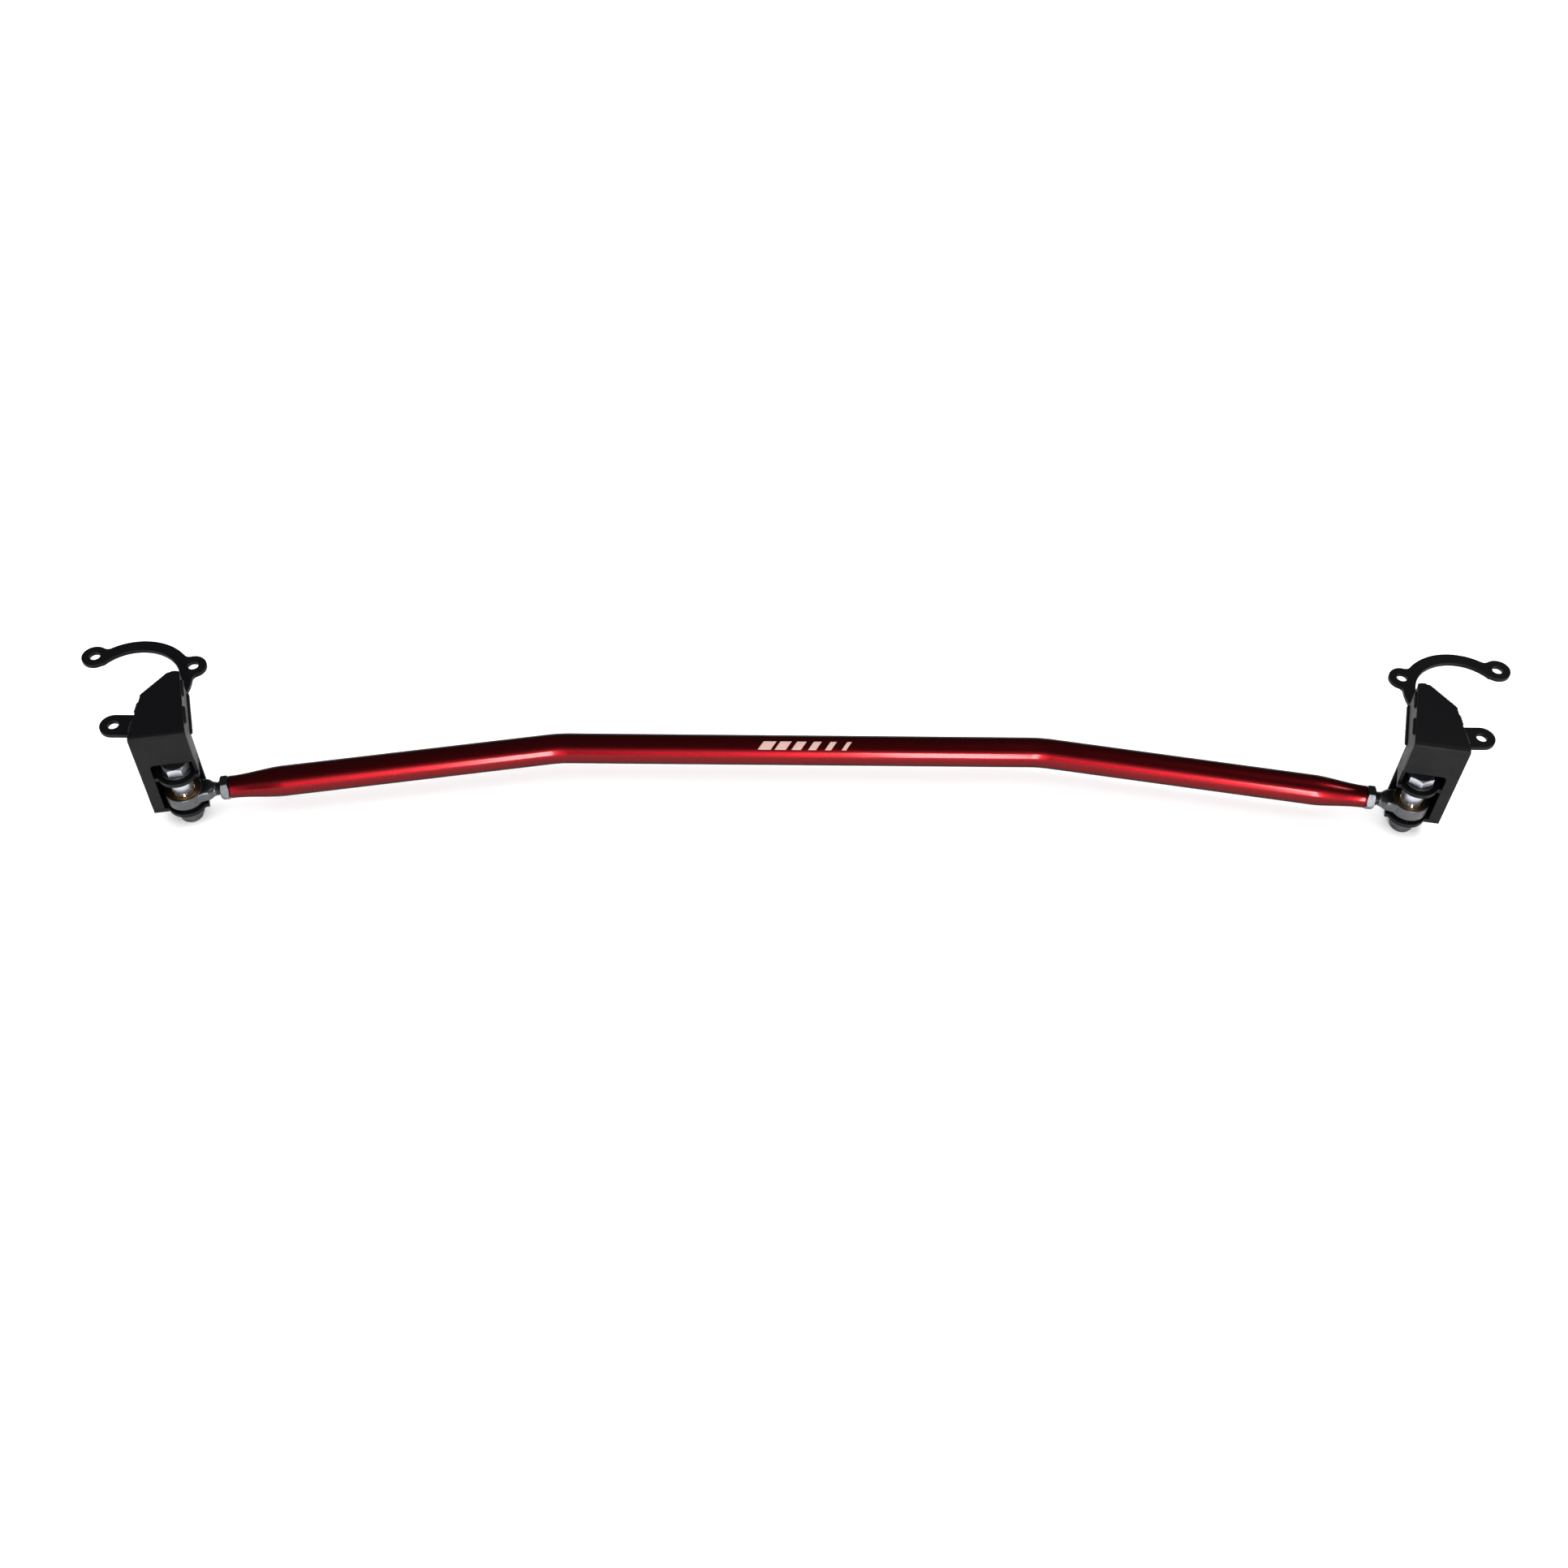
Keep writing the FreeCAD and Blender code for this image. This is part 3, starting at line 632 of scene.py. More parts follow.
@dataclass
class Bar:
    """The red tube, swaged down at both ends and tapped for the rod ends, and its stripe mark."""

    axis: BarAxis
    wall: float = 2 * MM
    neck_radius: float = 9.3 * MM
    tube_end: float = 36 * MM           # from the eye's centre
    swage_start: float = 38 * MM
    swage_end: float = 81 * MM
    fine_run: float = 50 * MM           # of each end, drawn with closer rings
    tapped_length: float = 22 * MM
    tapped_runout: float = 4 * MM
    tapped_radius: float = 6.05 * MM
    lip: float = 0.7 * MM
    segments: int = 96
    mark_centre: float = 6 * MM
    mark_length: float = 84 * MM
    mark_elevation_deg: float = 66.5
    mark_half_span_deg: float = 17.0
    mark_slant: float = 5 * MM
    mark_bars: int = 6
    mark_first_share: float = 0.78      # of the pitch that the widest bar takes
    mark_share_step: float = 0.1        # by which each next bar's share is less
    mark_thickness: float = 0.08 * MM

    def outer_radius(self, from_eye: np.ndarray) -> np.ndarray:
        """Outside radius: the neck's, blended smoothly up to the tube's along the swage."""
        share = blend(from_eye, self.swage_start, self.swage_end)
        return self.neck_radius + (self.axis.tube_radius - self.neck_radius) * share

    def inner_radius(self, from_eye: np.ndarray) -> np.ndarray:
        """Inside radius: the tapped hole's, blended to the outside's less the wall.

        Args:
            from_eye: Distance along the line from the eye's centre.

        Returns:
            The radius.
        """
        end = self.tube_end + self.tapped_length
        bored = self.outer_radius(from_eye) - self.wall
        share = blend(from_eye, end, end + self.tapped_runout)
        return self.tapped_radius + (np.maximum(bored, self.tapped_radius)
                                     - self.tapped_radius) * share

    def tube(self) -> bpy.types.Object:
        """The tube: a ring of points carried along the centre line outside, then back inside.

        The point at distance d and angle a is line(d) + radius(d) * (cos a * level normal +
        sin a * up).  The outside and inside runs are one closed loop, joined over rounded lips.

        Returns:
            The piece, which replaces the tube's node.
        """
        reach = self.axis.eye_distance - self.tube_end
        half = np.unique(np.concatenate([
            np.linspace(0, self.axis.arc_start, 9),
            np.linspace(self.axis.arc_start, self.axis.arc_end, 17),
            np.linspace(self.axis.arc_end, reach - self.fine_run, 12),
            np.linspace(reach - self.fine_run, reach - self.lip, 40)]))
        distance = np.concatenate([-half[:0:-1], half])
        from_eye = self.axis.eye_distance - np.abs(distance)
        turn = np.linspace(0, math.pi / 2, 5)[1:]
        lip_reach = reach - self.lip * (1 - np.sin(turn))
        lip_radius = float(self.outer_radius(np.array(self.tube_end))) - self.lip * (
            1 - np.cos(turn))
        run = np.concatenate([distance, lip_reach, distance[::-1], -lip_reach[::-1]])
        radius = np.concatenate([self.outer_radius(from_eye), lip_radius,
                                 self.inner_radius(from_eye[::-1]), lip_radius[::-1]])
        line, normal = self.axis.carry(run)
        angle = np.linspace(0, TURN, self.segments, endpoint=False)
        up = np.array([0, 0, 1.0])
        ring = (np.cos(angle)[None, :, None] * normal[:, None, :]
                + np.sin(angle)[None, :, None] * up)
        points = line[:, None, :] + radius[:, None, None] * ring
        piece = make_object("red_tube", [grid_shell(points, True, True).outward()])
        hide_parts("bar_tube")
        return piece

    def mark(self) -> bpy.types.Object:
        """Slanted printed bars on the tube's upper front, each narrower than the one before.

        A bar's point at share s across and t up is the tube's surface at X = start + s * width +
        slant * t and at an elevation between the mark's two edges.

        Returns:
            The piece.
        """
        pitch = self.mark_length / self.mark_bars
        low = math.radians(self.mark_elevation_deg - self.mark_half_span_deg)
        high = math.radians(self.mark_elevation_deg + self.mark_half_span_deg)
        across, up = np.linspace(0, 1, 9)[:, None], np.linspace(0, 1, 13)[None, :]
        radius = self.axis.tube_radius + self.mark_thickness / 2
        shells = []
        for index in range(self.mark_bars):
            width = pitch * (self.mark_first_share - self.mark_share_step * index)
            start = self.mark_centre - self.mark_length / 2 + index * pitch
            elevation = low + (high - low) * up
            x = start + across * width + self.mark_slant * up
            y = self.axis.middle_rear - radius * np.cos(elevation) + 0 * across
            z = self.axis.height + radius * np.sin(elevation) + 0 * across
            shells.append(grid_shell(np.stack(np.broadcast_arrays(x, y, z), axis=-1),
                                     False, False))
        piece = make_object("printed_stripes", shells)
        thick = piece.modifiers.new("ink thickness", "SOLIDIFY")
        thick.thickness = self.mark_thickness
        thick.offset = 0
        return piece

    def build(self) -> None:
        """Makes and dresses the tube and its mark."""
        dress(self.tube(), CANDY_RED, "bar")
        dress(self.mark(), PRINT_INK, "bar")


# ---- rod end -----------------------------------------------------------------------------------
@dataclass
class RodEnd:
    """A forged eye with its threaded shank, race, ball and jam nut."""

    side: Side
    axis: BarAxis
    eye_radius: float = 15 * MM
    eye_half_width: float = 6 * MM
    race_radius: float = 12.6 * MM
    race_half_width: float = 5.5 * MM
    ball_radius: float = 11.1 * MM
    ball_half_width: float = 7.97 * MM
    bolt_radius: float = 6 * MM
    gap: float = 0.05 * MM
    edge: float = 1.1 * MM
    race_chamfer: float = 0.3 * MM
    ball_chamfer: float = 0.5 * MM
    seat_radius: float = 13.8 * MM      # where the shank's root starts, inside the eye's ring
    seat_half_width: float = 10.4 * MM
    seat_half_height: float = 5.6 * MM
    seat_power: float = 5.0             # of the root's section there, nearly a rectangle
    round_power: float = 2.0            # of a round section
    root_half_width: float = 8.4 * MM
    flank_end: float = 18 * MM          # from the eye's centre, where the root has its own width
    narrow_start: float = 19 * MM       # where the width starts to shrink to the thread's
    thin_start: float = 14.5 * MM       # where the height starts to change to the thread's
    thin_end: float = 20 * MM
    round_start: float = 16 * MM        # where the section starts to turn round
    root_end: float = 24.5 * MM
    thread_end: float = 56 * MM
    thread_radius: float = 5.95 * MM
    thread_pitch: float = 1.75 * MM
    thread_deep: float = 0.95 * MM
    thread_fade: float = 1.5 * MM
    first_ring: float = 0.25 * MM       # of the thread's points, past the root's end
    tip_scale: float = 0.88             # of the thread's radius, at the end face's rim
    jam_across_flats: float = 18 * MM
    jam_start: float = 29 * MM
    jam_end: float = 36 * MM
    jam_flat_inset: float = 0.5 * MM
    corner_margin: float = 0.2 * MM
    bore_depth: float = 0.6 * MM        # of the nut's bore, under the thread's crest
    bore_lead: float = 0.8 * MM
    centre: np.ndarray = field(init=False)
    along: np.ndarray = field(init=False)
    up: np.ndarray = field(init=False)
    across: np.ndarray = field(init=False)

    def __post_init__(self) -> None:
        """Takes the ball's centre from the frame, and the three directions of the bar's end."""
        self.centre = eye_centre(self.side)
        angle = self.axis.end_angle
        self.along = self.side.way(math.cos(angle), math.sin(angle), 0)
        self.up = np.array([0, 0, 1.0])
        self.across = np.cross(self.up, self.along)

    def shank(self) -> Shell:
        """Root and thread: superellipse sections that turn round, then a helical thread.

        The section at distance a has radius (|cos p / w|^n + |sin p / h|^n)^(-1/n) at angle p.
        Width w, height h and exponent n blend from the eye's flat flanks to a round bar.  Near
        the eye the sections bend to follow a circle about the ball's axis.

        Returns:
            The surface, faces outward, closed at both ends.
        """
        smooth_run = np.linspace(self.seat_radius, self.root_end, 22)
        thread_run = np.arange(self.root_end + self.first_ring, self.thread_end,
                               self.thread_pitch / THREAD_STEPS)
        cap = np.linspace(0, 1, 6)[:-1]
        distance = np.concatenate([np.full(5, self.seat_radius), smooth_run, thread_run,
                                   np.full(4, self.thread_end)])
        scale = np.concatenate([cap, np.ones(smooth_run.size + thread_run.size),
                                np.linspace(self.tip_scale, 0, 4)])
        angle = np.linspace(0, TURN, 72, endpoint=False)[None, :]
        a = distance[:, None]
        flank = self.seat_half_width + (self.root_half_width - self.seat_half_width) * blend(
            a, self.seat_radius, self.flank_end)
        width = flank + (self.thread_radius - flank) * blend(a, self.narrow_start, self.root_end)
        height = self.seat_half_height + (self.thread_radius - self.seat_half_height) * blend(
            a, self.thin_start, self.thin_end)
        power = self.seat_power + (self.round_power - self.seat_power) * blend(
            a, self.round_start, self.root_end)
        radius = ((np.abs(np.cos(angle)) / width) ** power
                  + (np.abs(np.sin(angle)) / height) ** power) ** (-1 / power)
        fade = blend(a, self.root_end, self.root_end + self.thread_fade)
        cut = thread_depth(a, angle, self.thread_pitch) * fade
        radius = (radius - self.thread_deep * cut) * scale[:, None]
        level, lift = radius * np.cos(angle), radius * np.sin(angle)
        bent = np.sqrt(np.maximum(self.seat_radius ** 2 - level ** 2, 0)) - self.seat_radius
        reach = a + bent * (1 - blend(a, self.seat_radius, self.thin_end))
        points = (self.centre + reach[..., None] * self.along + level[..., None] * self.across
                  + lift[..., None] * self.up)
        return grid_shell(points, False, True).outward()

    def body(self) -> bpy.types.Object:
        """The eye, a turned ring with rounded edges, and the shank that grows out of it.

        Returns:
            The piece, which replaces the rod end's body.
        """
        section = rounded_ring(self.race_radius, self.eye_radius, -self.eye_half_width,
                               self.eye_half_width, self.edge)
        eye = lathe(section, self.centre, self.up, ROUND_STEPS, True)
        piece = make_object(self.side.node("rod_end_forging"), [eye, self.shank()])
        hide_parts(self.side.node("rod_end_body"))
        return piece

    def race(self) -> bpy.types.Object:
        """The race: flat faces, a round outside and a spherical bore about the ball.

        The bore's radius at height h is the square root of (ball radius + gap)^2 - h^2.

        Returns:
            The piece, which replaces the race's node.
        """
        bore = self.ball_radius + self.gap
        height = np.linspace(self.race_half_width, -self.race_half_width, 15)
        inside = np.stack([np.sqrt(bore ** 2 - height ** 2), height], axis=1)
        chamfer, rim = self.race_chamfer, self.race_radius
        outside = np.array([[rim - chamfer, -self.race_half_width],
                            [rim, -self.race_half_width + chamfer],
                            [rim, self.race_half_width - chamfer],
                            [rim - chamfer, self.race_half_width]])
        shell = lathe(np.concatenate([inside, outside]), self.centre, self.up, ROUND_STEPS, True)
        piece = make_object(self.side.node("bearing_race"), [shell])
        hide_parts(self.side.node("rod_end_race"))
        return piece

    def ball(self) -> bpy.types.Object:
        """The ball: a sphere cut flat above and below and bored, with small bore chamfers.

        Its radius at height h is the square root of ball radius^2 - h^2.

        Returns:
            The piece, which replaces the ball's node.
        """
        height = np.linspace(-self.ball_half_width, self.ball_half_width, 33)
        outside = np.stack([np.sqrt(self.ball_radius ** 2 - height ** 2), height], axis=1)
        bore, chamfer = self.bolt_radius + self.gap, self.ball_chamfer
        top = self.ball_half_width
        inside = np.array([[bore + chamfer, top], [bore, top - chamfer],
                           [bore, -top + chamfer], [bore + chamfer, -top]])
        shell = lathe(np.concatenate([outside, inside]), self.centre, self.up, ROUND_STEPS, True)
        piece = make_object(self.side.node("chromed_ball"), [shell])
        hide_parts(self.side.node("rod_end_ball"))
        return piece

    def jam_nut(self) -> bpy.types.Object:
        """The jam nut: a ring whose radius is the lesser of a cone and a hexagon, flats level.

        Returns:
            The piece, which replaces the nut's node.
        """
        cone, rise = hexagon_cone(self.jam_across_flats, self.jam_flat_inset,
                                  self.corner_margin)
        bore, lead = self.thread_radius - self.bore_depth, self.bore_lead
        outside = np.concatenate([np.stack([cone, self.jam_start + rise], axis=1),
                                  np.stack([cone, self.jam_end - rise], axis=1)[::-1]])
        inside = np.array([[bore + lead, self.jam_end], [bore, self.jam_end - lead],
                           [bore, self.jam_start + lead], [bore + lead, self.jam_start]])

        def hexagonal(radius: np.ndarray, height: np.ndarray, angle: np.ndarray) -> np.ndarray:
            """The lesser of the profile's radius and the hexagon's."""
            return np.minimum(radius, hexagon_radius(angle, self.jam_across_flats, math.pi / 2))

        shell = lathe(np.concatenate([outside, inside]), self.centre, self.along, HEX_STEPS,
                      True, hexagonal)
        piece = make_object(self.side.node("jam_nut_plated"), [shell], SHARP_HEX_DEG)
        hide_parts(self.side.node("jam_nut"))
        return piece

    def build(self) -> None:
        """Makes and dresses the rod end's pieces."""
        # The forging's darker grey is painted shade.
        dress(self.body(), FORGING_PAINTED_SHADE, "bar")
        dress(self.race(), BRONZE, "bar")
        dress(self.ball(), HARD_CHROME, f"{self.side.label}_ball")
        # The jam nut's zinc is painted darker: painted shade.
        dress(self.jam_nut(), ZINC_PAINTED_SHADE, "bar")


# ---- pivot hardware ----------------------------------------------------------------------------
@dataclass
class PivotHardware:
    """The upright bolt, its washers, spacers and lock nut, in one bracket."""

    side: Side
    head_turn_deg: float
    bolt_radius: float = 6 * MM
    across_flats: float = 19 * MM
    head_height: float = 7.5 * MM
    thread_pitch: float = 1.75 * MM
    thread_deep: float = 0.95 * MM
    thread_length: float = 20 * MM
    bolt_chamfer: float = 1 * MM
    face_share: float = 0.5             # of the head's flat, where its face has a ring of points
    tip_share: float = 0.4              # the same, for the bolt's end face
    thread_share: float = 0.9           # of the crest; only larger radii are threaded
    crest_gap: float = 0.03 * MM        # between the bolt's crest and what fits on it
    hole_clearance: float = 0.2 * MM
    flat_inset: float = 0.5 * MM
    head_rim: float = 0.6 * MM          # flat ring round the head's top face
    corner_margin: float = 0.2 * MM
    edge: float = 0.35 * MM
    washer_thickness: float = 2.5 * MM
    nut_collar_height: float = 3.5 * MM
    nut_collar_wall: float = 1.4 * MM
    nut_collar_drop: float = 0.3 * MM   # from the hexagon's foot to the collar
    nut_curl: float = 1.3 * MM          # radius of the collar's foot, turned in
    bore_depth: float = 0.6 * MM
    bore_lead: float = 0.9 * MM
    bore_step: float = 0.2 * MM         # chamfer above the nylon ring
    axis_point: np.ndarray = field(init=False)
    up: np.ndarray = field(init=False)
    body: str = field(init=False)

    def __post_init__(self) -> None:
        """Takes the bolt's axis from the frame."""
        self.axis_point = eye_centre(self.side) * np.array([1.0, 1, 0])
        self.up = np.array([0, 0, 1.0])
        self.body = f"{self.side.label}_bracket"

    def hexagonal(self, turn: float) -> Limit:
        """A limit that cuts a turned profile to this hardware's hexagon.

        Args:
            turn: The angle that one flat faces.

        Returns:
            The limit, for a lathe.
        """
        def limited(radius: np.ndarray, height: np.ndarray, angle: np.ndarray) -> np.ndarray:
            """The lesser of the profile's radius and the hexagon's."""
            return np.minimum(radius, hexagon_radius(angle, self.across_flats, turn))
        return limited

    def cone(self) -> tuple[np.ndarray, np.ndarray]:
        """The chamfer of this hardware's hexagons, as radii and their rise."""
        return hexagon_cone(self.across_flats, self.flat_inset, self.corner_margin)

    def bolt(self) -> bpy.types.Object:
        """The bolt: one turned profile with a hexagonal head and a helical thread at its end.

        The head's radius is the lesser of a 30 degree cone and the hexagon.  In the thread the
        radius drops under the crest by the thread's depth times a triangle wave of height and
        angle, which fades in over two turns.

        Returns:
            The piece, which replaces the bolt's node.
        """
        node = self.side.node("pivot_bolt")
        low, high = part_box(node)
        bottom, top = low[2], high[2]
        seat = top - self.head_height
        cone, rise = self.cone()
        crest = self.bolt_radius - self.crest_gap
        head = np.concatenate([
            np.array([[0, top], [cone[0] * self.face_share, top], [cone[0] - self.head_rim, top]]),
            np.stack([cone, top - rise], axis=1),
            np.array([[cone[-1], seat], [crest, seat], [crest, seat - self.bolt_chamfer]])])
        thread = np.arange(bottom + self.thread_length, bottom + self.bolt_chamfer,
                           -self.thread_pitch / THREAD_STEPS)
        shank = np.stack([np.full_like(thread, crest), thread], axis=1)
        tip = np.array([[crest - self.bolt_chamfer, bottom], [crest * self.tip_share, bottom],
                        [0, bottom]])
        hexagonal = self.hexagonal(math.radians(-90 + self.head_turn_deg))
        start = bottom + self.thread_length

        def shaped(radius: np.ndarray, height: np.ndarray, angle: np.ndarray) -> np.ndarray:
            """Hexagon on the head, thread on the shank.

            Args:
                radius: The profile's radius.
                height: Height along the bolt.
                angle: Angle round the bolt.

            Returns:
                The radius, less the thread where there is one.
            """
            fade = blend(height, start, start - 2 * self.thread_pitch)
            inside = (radius > self.thread_share * crest) & (
                height > bottom + self.bolt_chamfer / 2)
            cut = self.thread_deep * thread_depth(height, angle, self.thread_pitch) * fade
            return hexagonal(radius, height, angle) - np.where(inside, cut, 0)

        shell = lathe(np.concatenate([head, shank, tip]), self.axis_point, self.up, HEX_STEPS,
                      False, shaped)
        piece = make_object(self.side.node("hex_bolt"), [shell], SHARP_HEX_DEG)
        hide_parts(node)
        return piece

    def ring(self, name: str, node: str, spans: Sequence[tuple[float, float]], inner: float,
             outer: float, edge: float) -> bpy.types.Object:
        """Turned rings with rounded edges about the bolt's axis.

        Args:
            name: The piece's name.
            node: The CAD node that it stands for.
            spans: The lower and upper face of each ring.
            inner: Bore radius.
            outer: Outer radius.
            edge: Radius of the edges.

        Returns:
            The piece.
        """
        shells = [lathe(rounded_ring(inner, outer, low, high, edge), self.axis_point, self.up,
                        ROUND_STEPS, True) for low, high in spans]
        piece = make_object(self.side.node(name), shells)
        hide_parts(self.side.node(node))
        return piece

    def node_ring(self, name: str, node: str, inner: float) -> bpy.types.Object:
        """A single ring that fills the box of its CAD node.

        Args:
            name: The piece's name.
            node: The CAD node that it stands for.
            inner: Bore radius.

        Returns:
            The piece.
        """
        low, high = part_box(self.side.node(node))
        outer = (high[0] - low[0]) / 2
        return self.ring(name, node, [(low[2], high[2])], inner, outer, self.edge)

    def washers(self) -> bpy.types.Object:
        """The washer under the head and the one above the nut.

        Returns:
            The piece, which replaces the washers' node.
        """
        low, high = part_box(self.side.node("washers"))
        thick = self.washer_thickness
        return self.ring("flat_washers", "washers",
                         [(high[2] - thick, high[2]), (low[2], low[2] + thick)],
                         self.bolt_radius + self.hole_clearance, (high[0] - low[0]) / 2,
                         self.edge)

    def lock_nut(self) -> bpy.types.Object:
        """The lock nut: a hexagon chamfered both ways, then a round collar crimped over a ring.

        The radius is the lesser of the profile and the hexagon; the collar's foot is a quarter
        round that turns in over the nylon ring.

        Returns:
            The piece, which replaces the lock nut's node.
        """
        node = self.side.node("lock_nut")
        low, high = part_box(node)
        bottom, top = low[2], high[2]
        ring_low, ring_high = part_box(self.side.node("nylon_ring"))
        hex_foot = bottom + self.nut_collar_height
        cone, rise = self.cone()
        ring_radius = (ring_high[0] - ring_low[0]) / 2
        collar = ring_radius + self.nut_collar_wall
        curl = np.linspace(0, math.pi / 2, 7)
        outside = np.concatenate([
            np.stack([cone, top - rise], axis=1),
            np.stack([cone, hex_foot + rise], axis=1)[::-1],
            np.array([[collar, hex_foot - self.nut_collar_drop]]),
            np.stack([collar - self.nut_curl * (1 - np.cos(curl)),
                      bottom + self.nut_curl * (1 - np.sin(curl))], axis=1)])
        bore, lead = self.bolt_radius - self.bore_depth, self.bore_lead
        inside = np.array([
            [ring_radius, bottom], [ring_radius, ring_high[2]],
            [bore + self.bore_step, ring_high[2]], [bore, ring_high[2] + self.bore_step],
            [bore, top - lead], [bore + lead, top]])
        shell = lathe(np.concatenate([outside, inside]), self.axis_point, self.up, HEX_STEPS,
                      True, self.hexagonal(math.radians(-90)))
        piece = make_object(self.side.node("nylon_lock_nut"), [shell], SHARP_HEX_DEG)
        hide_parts(node)
        return piece

    def build(self) -> None:
        """Makes and dresses the hardware of one pivot."""
        bore = self.bolt_radius + self.hole_clearance
        dress(self.bolt(), BRIGHT_ZINC, self.body)
        # The washers and the lock nut get zinc painted darker: painted shade.
        dress(self.washers(), ZINC_PAINTED_SHADE, self.body)
        dress(self.node_ring("upper_sleeve", "upper_spacer", bore), BRIGHT_ZINC, self.body)
        dress(self.node_ring("lower_sleeve", "lower_spacer", bore), BRIGHT_ZINC, self.body)
        dress(self.lock_nut(), ZINC_PAINTED_SHADE, self.body)
        dress(self.node_ring("nylon_insert", "nylon_ring", self.bolt_radius), NYLON, self.body)


# ---- bracket -----------------------------------------------------------------------------------
@dataclass
class Bracket:
    """The welded bracket of one end: its plates with rounded edges, and its weld beads."""

    side: Side
    edge: float = 0.5 * MM
    bead_radius: float = 2.1 * MM
    ripple_pitch: float = 3.2 * MM
    ripple_share: float = 0.28
    ripple_trail: float = 0.3           # of a pitch, by which a ripple's sides trail
    seam_rise: float = 1.2 * MM         # of the beads under the top panel's rear edges
    stitch_starts: tuple[float, float] = (0.1, 0.56)    # shares of a side wall's length
    stitch_share: float = 0.28
    edge_hint: float = 0.3              # way outward that picks a wall's outer corner
    plates: Sequence[str] = ("ear_plate", "box_shell", "outboard_side_plate",
                             "inboard_side_plate", "rear_gusset", "leg_back_plate",
                             "upper_lug", "lower_lug")
    body: str = field(init=False)

    def __post_init__(self) -> None:
        """Names the CAD body that the bracket's pieces move with."""
        self.body = f"{self.side.label}_bracket"

    def bead(self, start: np.ndarray, end: np.ndarray) -> Shell:
        """A weld bead: a round run between two points, rippled like a row of overlapping coins.

        The radius at distance s is the bead's times 1 - share * wave, where the wave is the
        square of a sawtooth of s / pitch that trails at the sides.  Both ends close in a quarter
        circle.

        Args:
            start: One end of the seam.
            end: The other end.

        Returns:
            The surface, faces outward.
        """
        length = float(np.linalg.norm(end - start))
        along = (end - start) / length
        first, second = square_frame(along)
        inner = np.arange(self.bead_radius, length - self.bead_radius,
                          self.ripple_pitch / THREAD_STEPS)
        turn = np.linspace(0, math.pi / 2, 6)
        run = np.concatenate([self.bead_radius * (1 - np.cos(turn)), inner[1:],
                              length - self.bead_radius * (1 - np.cos(turn[::-1]))])
        round_off = np.concatenate([np.sin(turn), np.ones(inner.size - 1),
                                    np.sin(turn[::-1])])
        angle = np.linspace(0, TURN, 20, endpoint=False)[None, :]
        wave = (run[:, None] / self.ripple_pitch + self.ripple_trail * np.cos(2 * angle)) % 1.0
        radius = self.bead_radius * round_off[:, None] * (1 - self.ripple_share * wave ** 2)
        points = (start + run[:, None, None] * along
                  + (radius * np.cos(angle))[..., None] * first
                  + (radius * np.sin(angle))[..., None] * second)
        return grid_shell(points, False, True).outward()

    def seams(self) -> list[tuple[np.ndarray, np.ndarray]]:
        """The seams, as pairs of points taken from the plates' own corners.

        Returns:
            The rear edges of the box above and below, the foot of each wall on the ear plate,
            and the foot of the leg on the lower lug.
        """
        way, hint = self.side.way, HINT
        gusset = self.side.node("rear_gusset")
        leg = self.side.node("leg_back_plate")
        seams = []
        for up in (hint, -hint):
            shoulder = extreme(gusset, way(-1, 0, up))
            tip_out = extreme(gusset, way(-hint, 1, up))
            tip_in = extreme(gusset, way(1, 0, up))
            rise = np.array([0, 0, self.seam_rise]) * (up > 0)
            seams += [(shoulder + rise, tip_out + rise), (tip_out + rise, tip_in + rise)]
        # The loop ends with the lower corners, from which the walls' feet run forward.
        ear_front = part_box(self.side.node("ear_plate"))[0][1]
        outboard_end = np.array([shoulder[0], ear_front, shoulder[2]])
        leg_corner = extreme(leg, way(1, -hint, hint))
        inboard_end = np.array([leg_corner[0], leg_corner[1], shoulder[2]])
        seams += [(shoulder, outboard_end), (tip_in, inboard_end)]
        foot_in = extreme(leg, way(hint, 1, -hint))
        foot_out = extreme(leg, way(-1, hint, -hint))
        seams.append((foot_out, foot_in))
        return seams

    def stitches(self) -> list[tuple[np.ndarray, np.ndarray]]:
        """Short beads along the seam of each side wall under the top panel.

        Returns:
            The beads, as pairs of end points.
        """
        pairs = []
        for wall, outward in (("outboard_side_plate", -1), ("inboard_side_plate", 1)):
            node = self.side.node(wall)
            rear = extreme(node, self.side.way(self.edge_hint * outward, 1, HINT))
            front = extreme(node, self.side.way(self.edge_hint * outward, -1, HINT))
            for share in self.stitch_starts:
                start = rear + (front - rear) * share
                pairs.append((start, rear + (front - rear) * (share + self.stitch_share)))
        return pairs

    def build(self) -> None:
        """Makes and dresses the plates and the beads of one bracket."""
        for plate in self.plates:
            piece = softened(self.side.node(plate), self.edge)
            dress(piece, POWDER_BLACK, self.body)
        shells = [self.bead(start, end) for start, end in self.seams() + self.stitches()]
        beads = make_object(self.side.node("weld_beads"), shells)
        dress(beads, POWDER_BLACK, self.body)


# ---- studio ------------------------------------------------------------------------------------
@dataclass
class SoftBox:
    """A flat soft light: where it stands, where it points, and how large and bright it is."""

    name: str
    place: tuple[float, float, float]
    aim: tuple[float, float, float]
    width: float
    height: float
    watts: float
    seen_in_gloss: bool = True

    def build(self) -> None:
        """Adds the light."""
        light = bpy.data.lights.new(self.name, "AREA")
        light.shape = "RECTANGLE"
        light.size, light.size_y = self.width, self.height
        light.energy = self.watts
        lamp = bpy.data.objects.new(self.name, light)
        bpy.context.scene.collection.objects.link(lamp)
        lamp.location = self.place
        way = Vector(self.aim) - Vector(self.place)
        lamp.rotation_euler = way.to_track_quat("-Z", "Y").to_euler()
        lamp.visible_glossy = self.seen_in_gloss


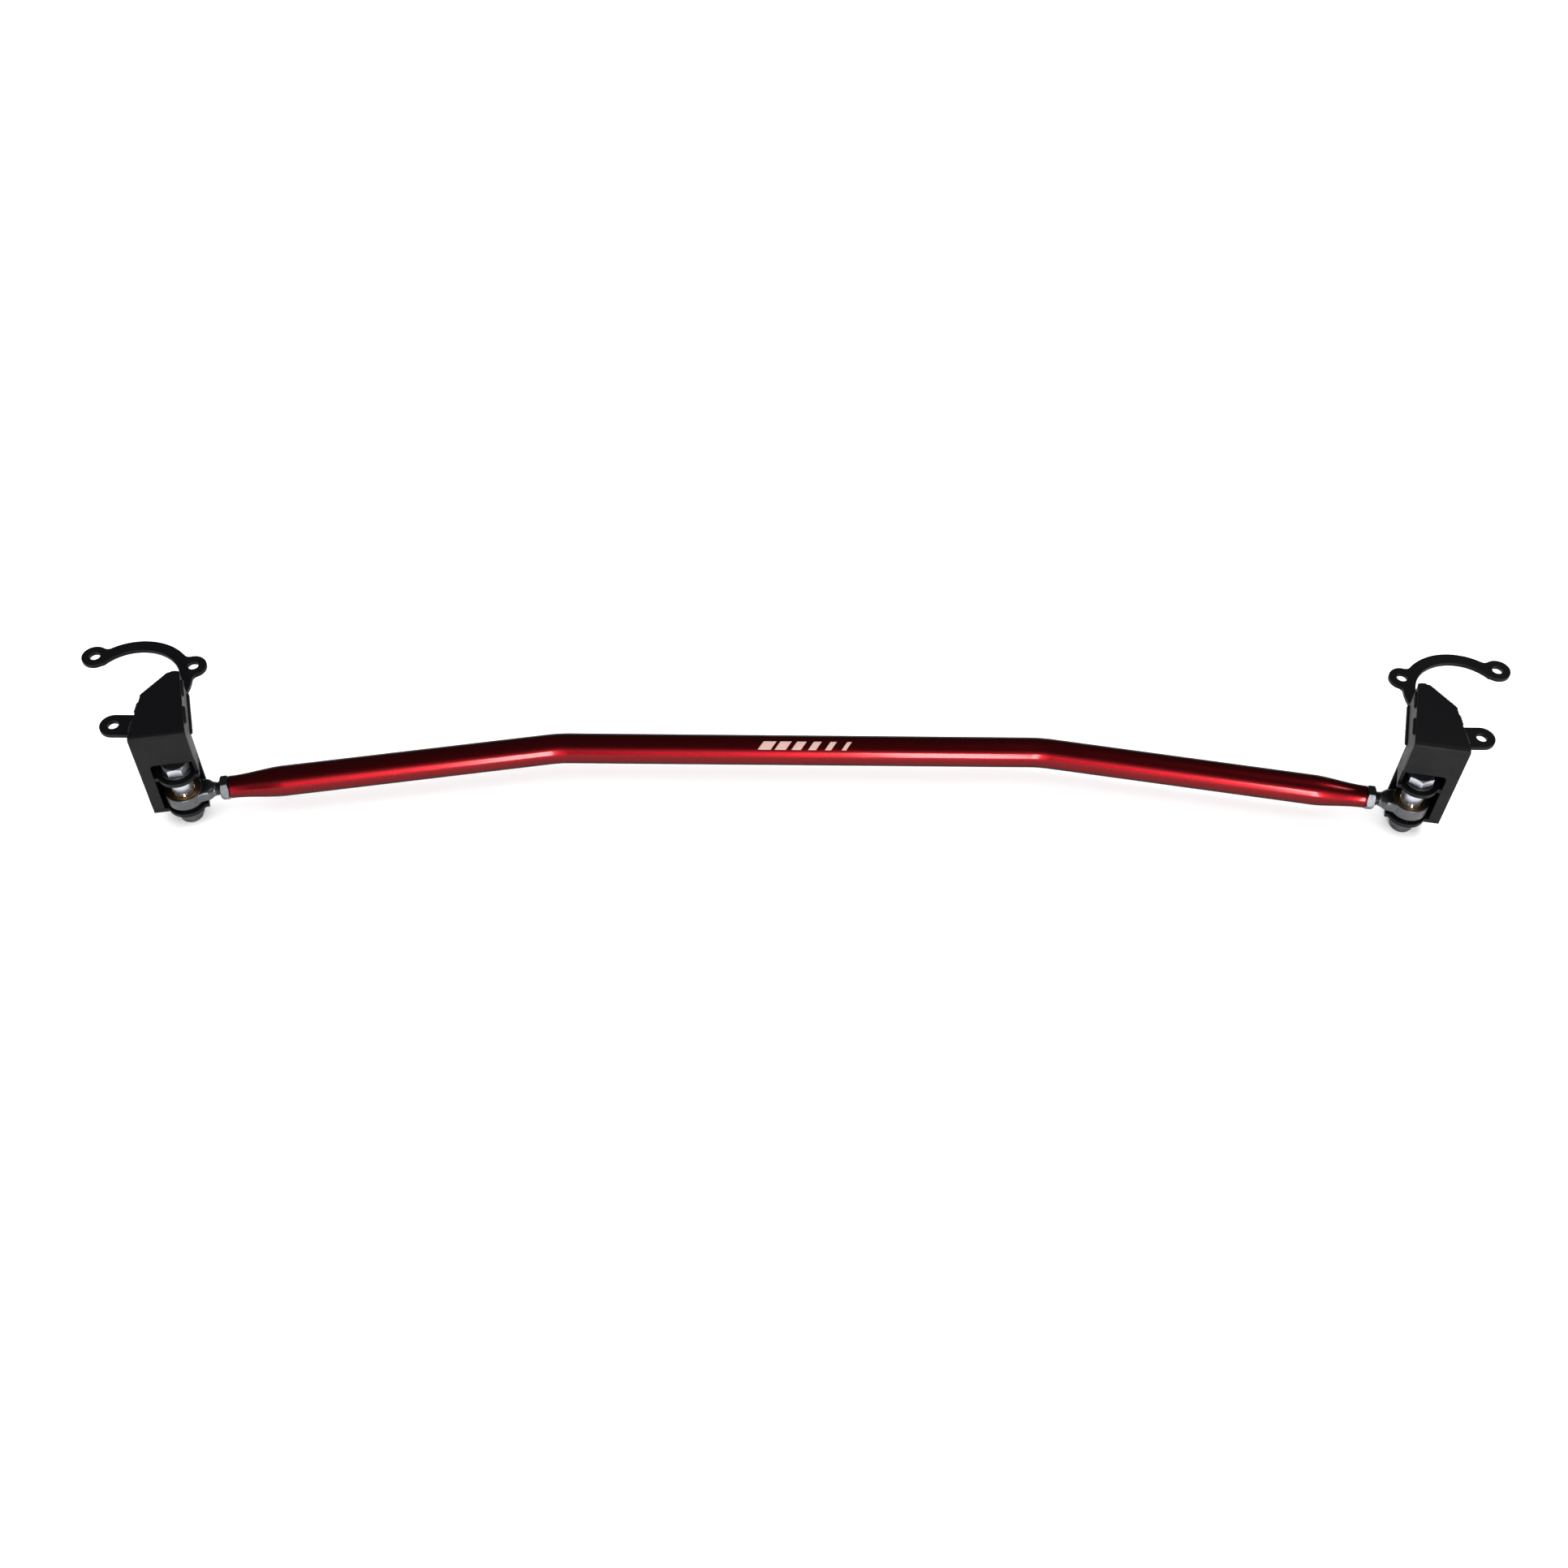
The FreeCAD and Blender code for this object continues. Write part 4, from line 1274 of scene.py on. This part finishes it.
@dataclass
class Studio:
    """A pale floor, soft light and the camera."""

    floor_half: float = 6.0
    floor_gap: float = 0.2 * MM
    camera_place: tuple[float, float, float] = (-0.04163, -1.00429, 1.1615)
    pitch_deg: float = 49.531
    yaw_deg: float = 1.642
    roll_deg: float = 1.747
    lens: float = 41.26
    sensor: float = 36.0
    clip: tuple[float, float] = (0.01, 50.0)
    world: str = "#666668"
    lights: Sequence[SoftBox] = (
        SoftBox("overhead", (0, 0.2, 3.6), (0, 0, 0), 8.0, 8.0, 470, False),
        SoftBox("front_panel", (0.2, -3.4, 2.7), (0, 0, 0), 5.0, 2.0, 12),
        SoftBox("tall_front", (0.85, -6.0, 1.4), (0, 0, 0.5), 0.6, 4.4, 480),
        SoftBox("upper_right", (1.9, 0.25, 2.5), (0, 0, 0), 0.6, 0.6, 20),
    )

    def floor(self) -> None:
        """A flat square floor just under the object."""
        height = CAD_BOX[0][2] - self.floor_gap
        side = np.linspace(-self.floor_half, self.floor_half, 9)
        x, y = np.meshgrid(side, side)
        points = np.stack([x, y, np.full_like(x, height)], axis=-1)
        piece = make_object("paper_sweep", [grid_shell(points, False, False)])
        piece.data.materials.append(PAPER.material())

    def camera(self) -> None:
        """The camera, from its pitch, yaw and roll."""
        pitch, yaw, roll = (math.radians(v) for v in
                            (self.pitch_deg, self.yaw_deg, self.roll_deg))
        look = Vector((math.sin(yaw) * math.cos(pitch), math.cos(yaw) * math.cos(pitch),
                       -math.sin(pitch)))
        right = Vector((math.cos(yaw), -math.sin(yaw), 0))
        up = right.cross(look)
        tilted_right = math.cos(roll) * right + math.sin(roll) * up
        tilted_up = -math.sin(roll) * right + math.cos(roll) * up
        data = bpy.data.cameras.new("camera")
        data.sensor_width, data.lens = self.sensor, self.lens
        data.clip_start, data.clip_end = self.clip
        camera = bpy.data.objects.new("camera", data)
        bpy.context.scene.collection.objects.link(camera)
        turn = Matrix((tilted_right, tilted_up, -look)).transposed().to_4x4()
        camera.matrix_world = Matrix.Translation(self.camera_place) @ turn
        bpy.context.scene.camera = camera

    def surroundings(self) -> None:
        """An even dim surrounding and a plain colour response."""
        world = bpy.data.worlds.new("studio")
        world.use_nodes = True
        world.node_tree.nodes["Background"].inputs["Color"].default_value = linear(self.world)
        bpy.context.scene.world = world
        bpy.context.scene.view_settings.view_transform = "Standard"

    def build(self) -> None:
        """Adds floor, surroundings, lights and camera."""
        self.floor()
        self.surroundings()
        for light in self.lights:
            light.build()
        self.camera()


def main() -> None:
    """Builds every sub-assembly in order, then the studio."""
    logging.basicConfig(level=logging.INFO, format="%(name)s: %(message)s")
    axis = BarAxis()
    Bar(axis).build()
    for side in Side:
        RodEnd(side, axis).build()
        PivotHardware(side, HEAD_TURNS_DEG[side]).build()
        Bracket(side).build()
    Studio().build()


if __name__ == "__main__":
    main()
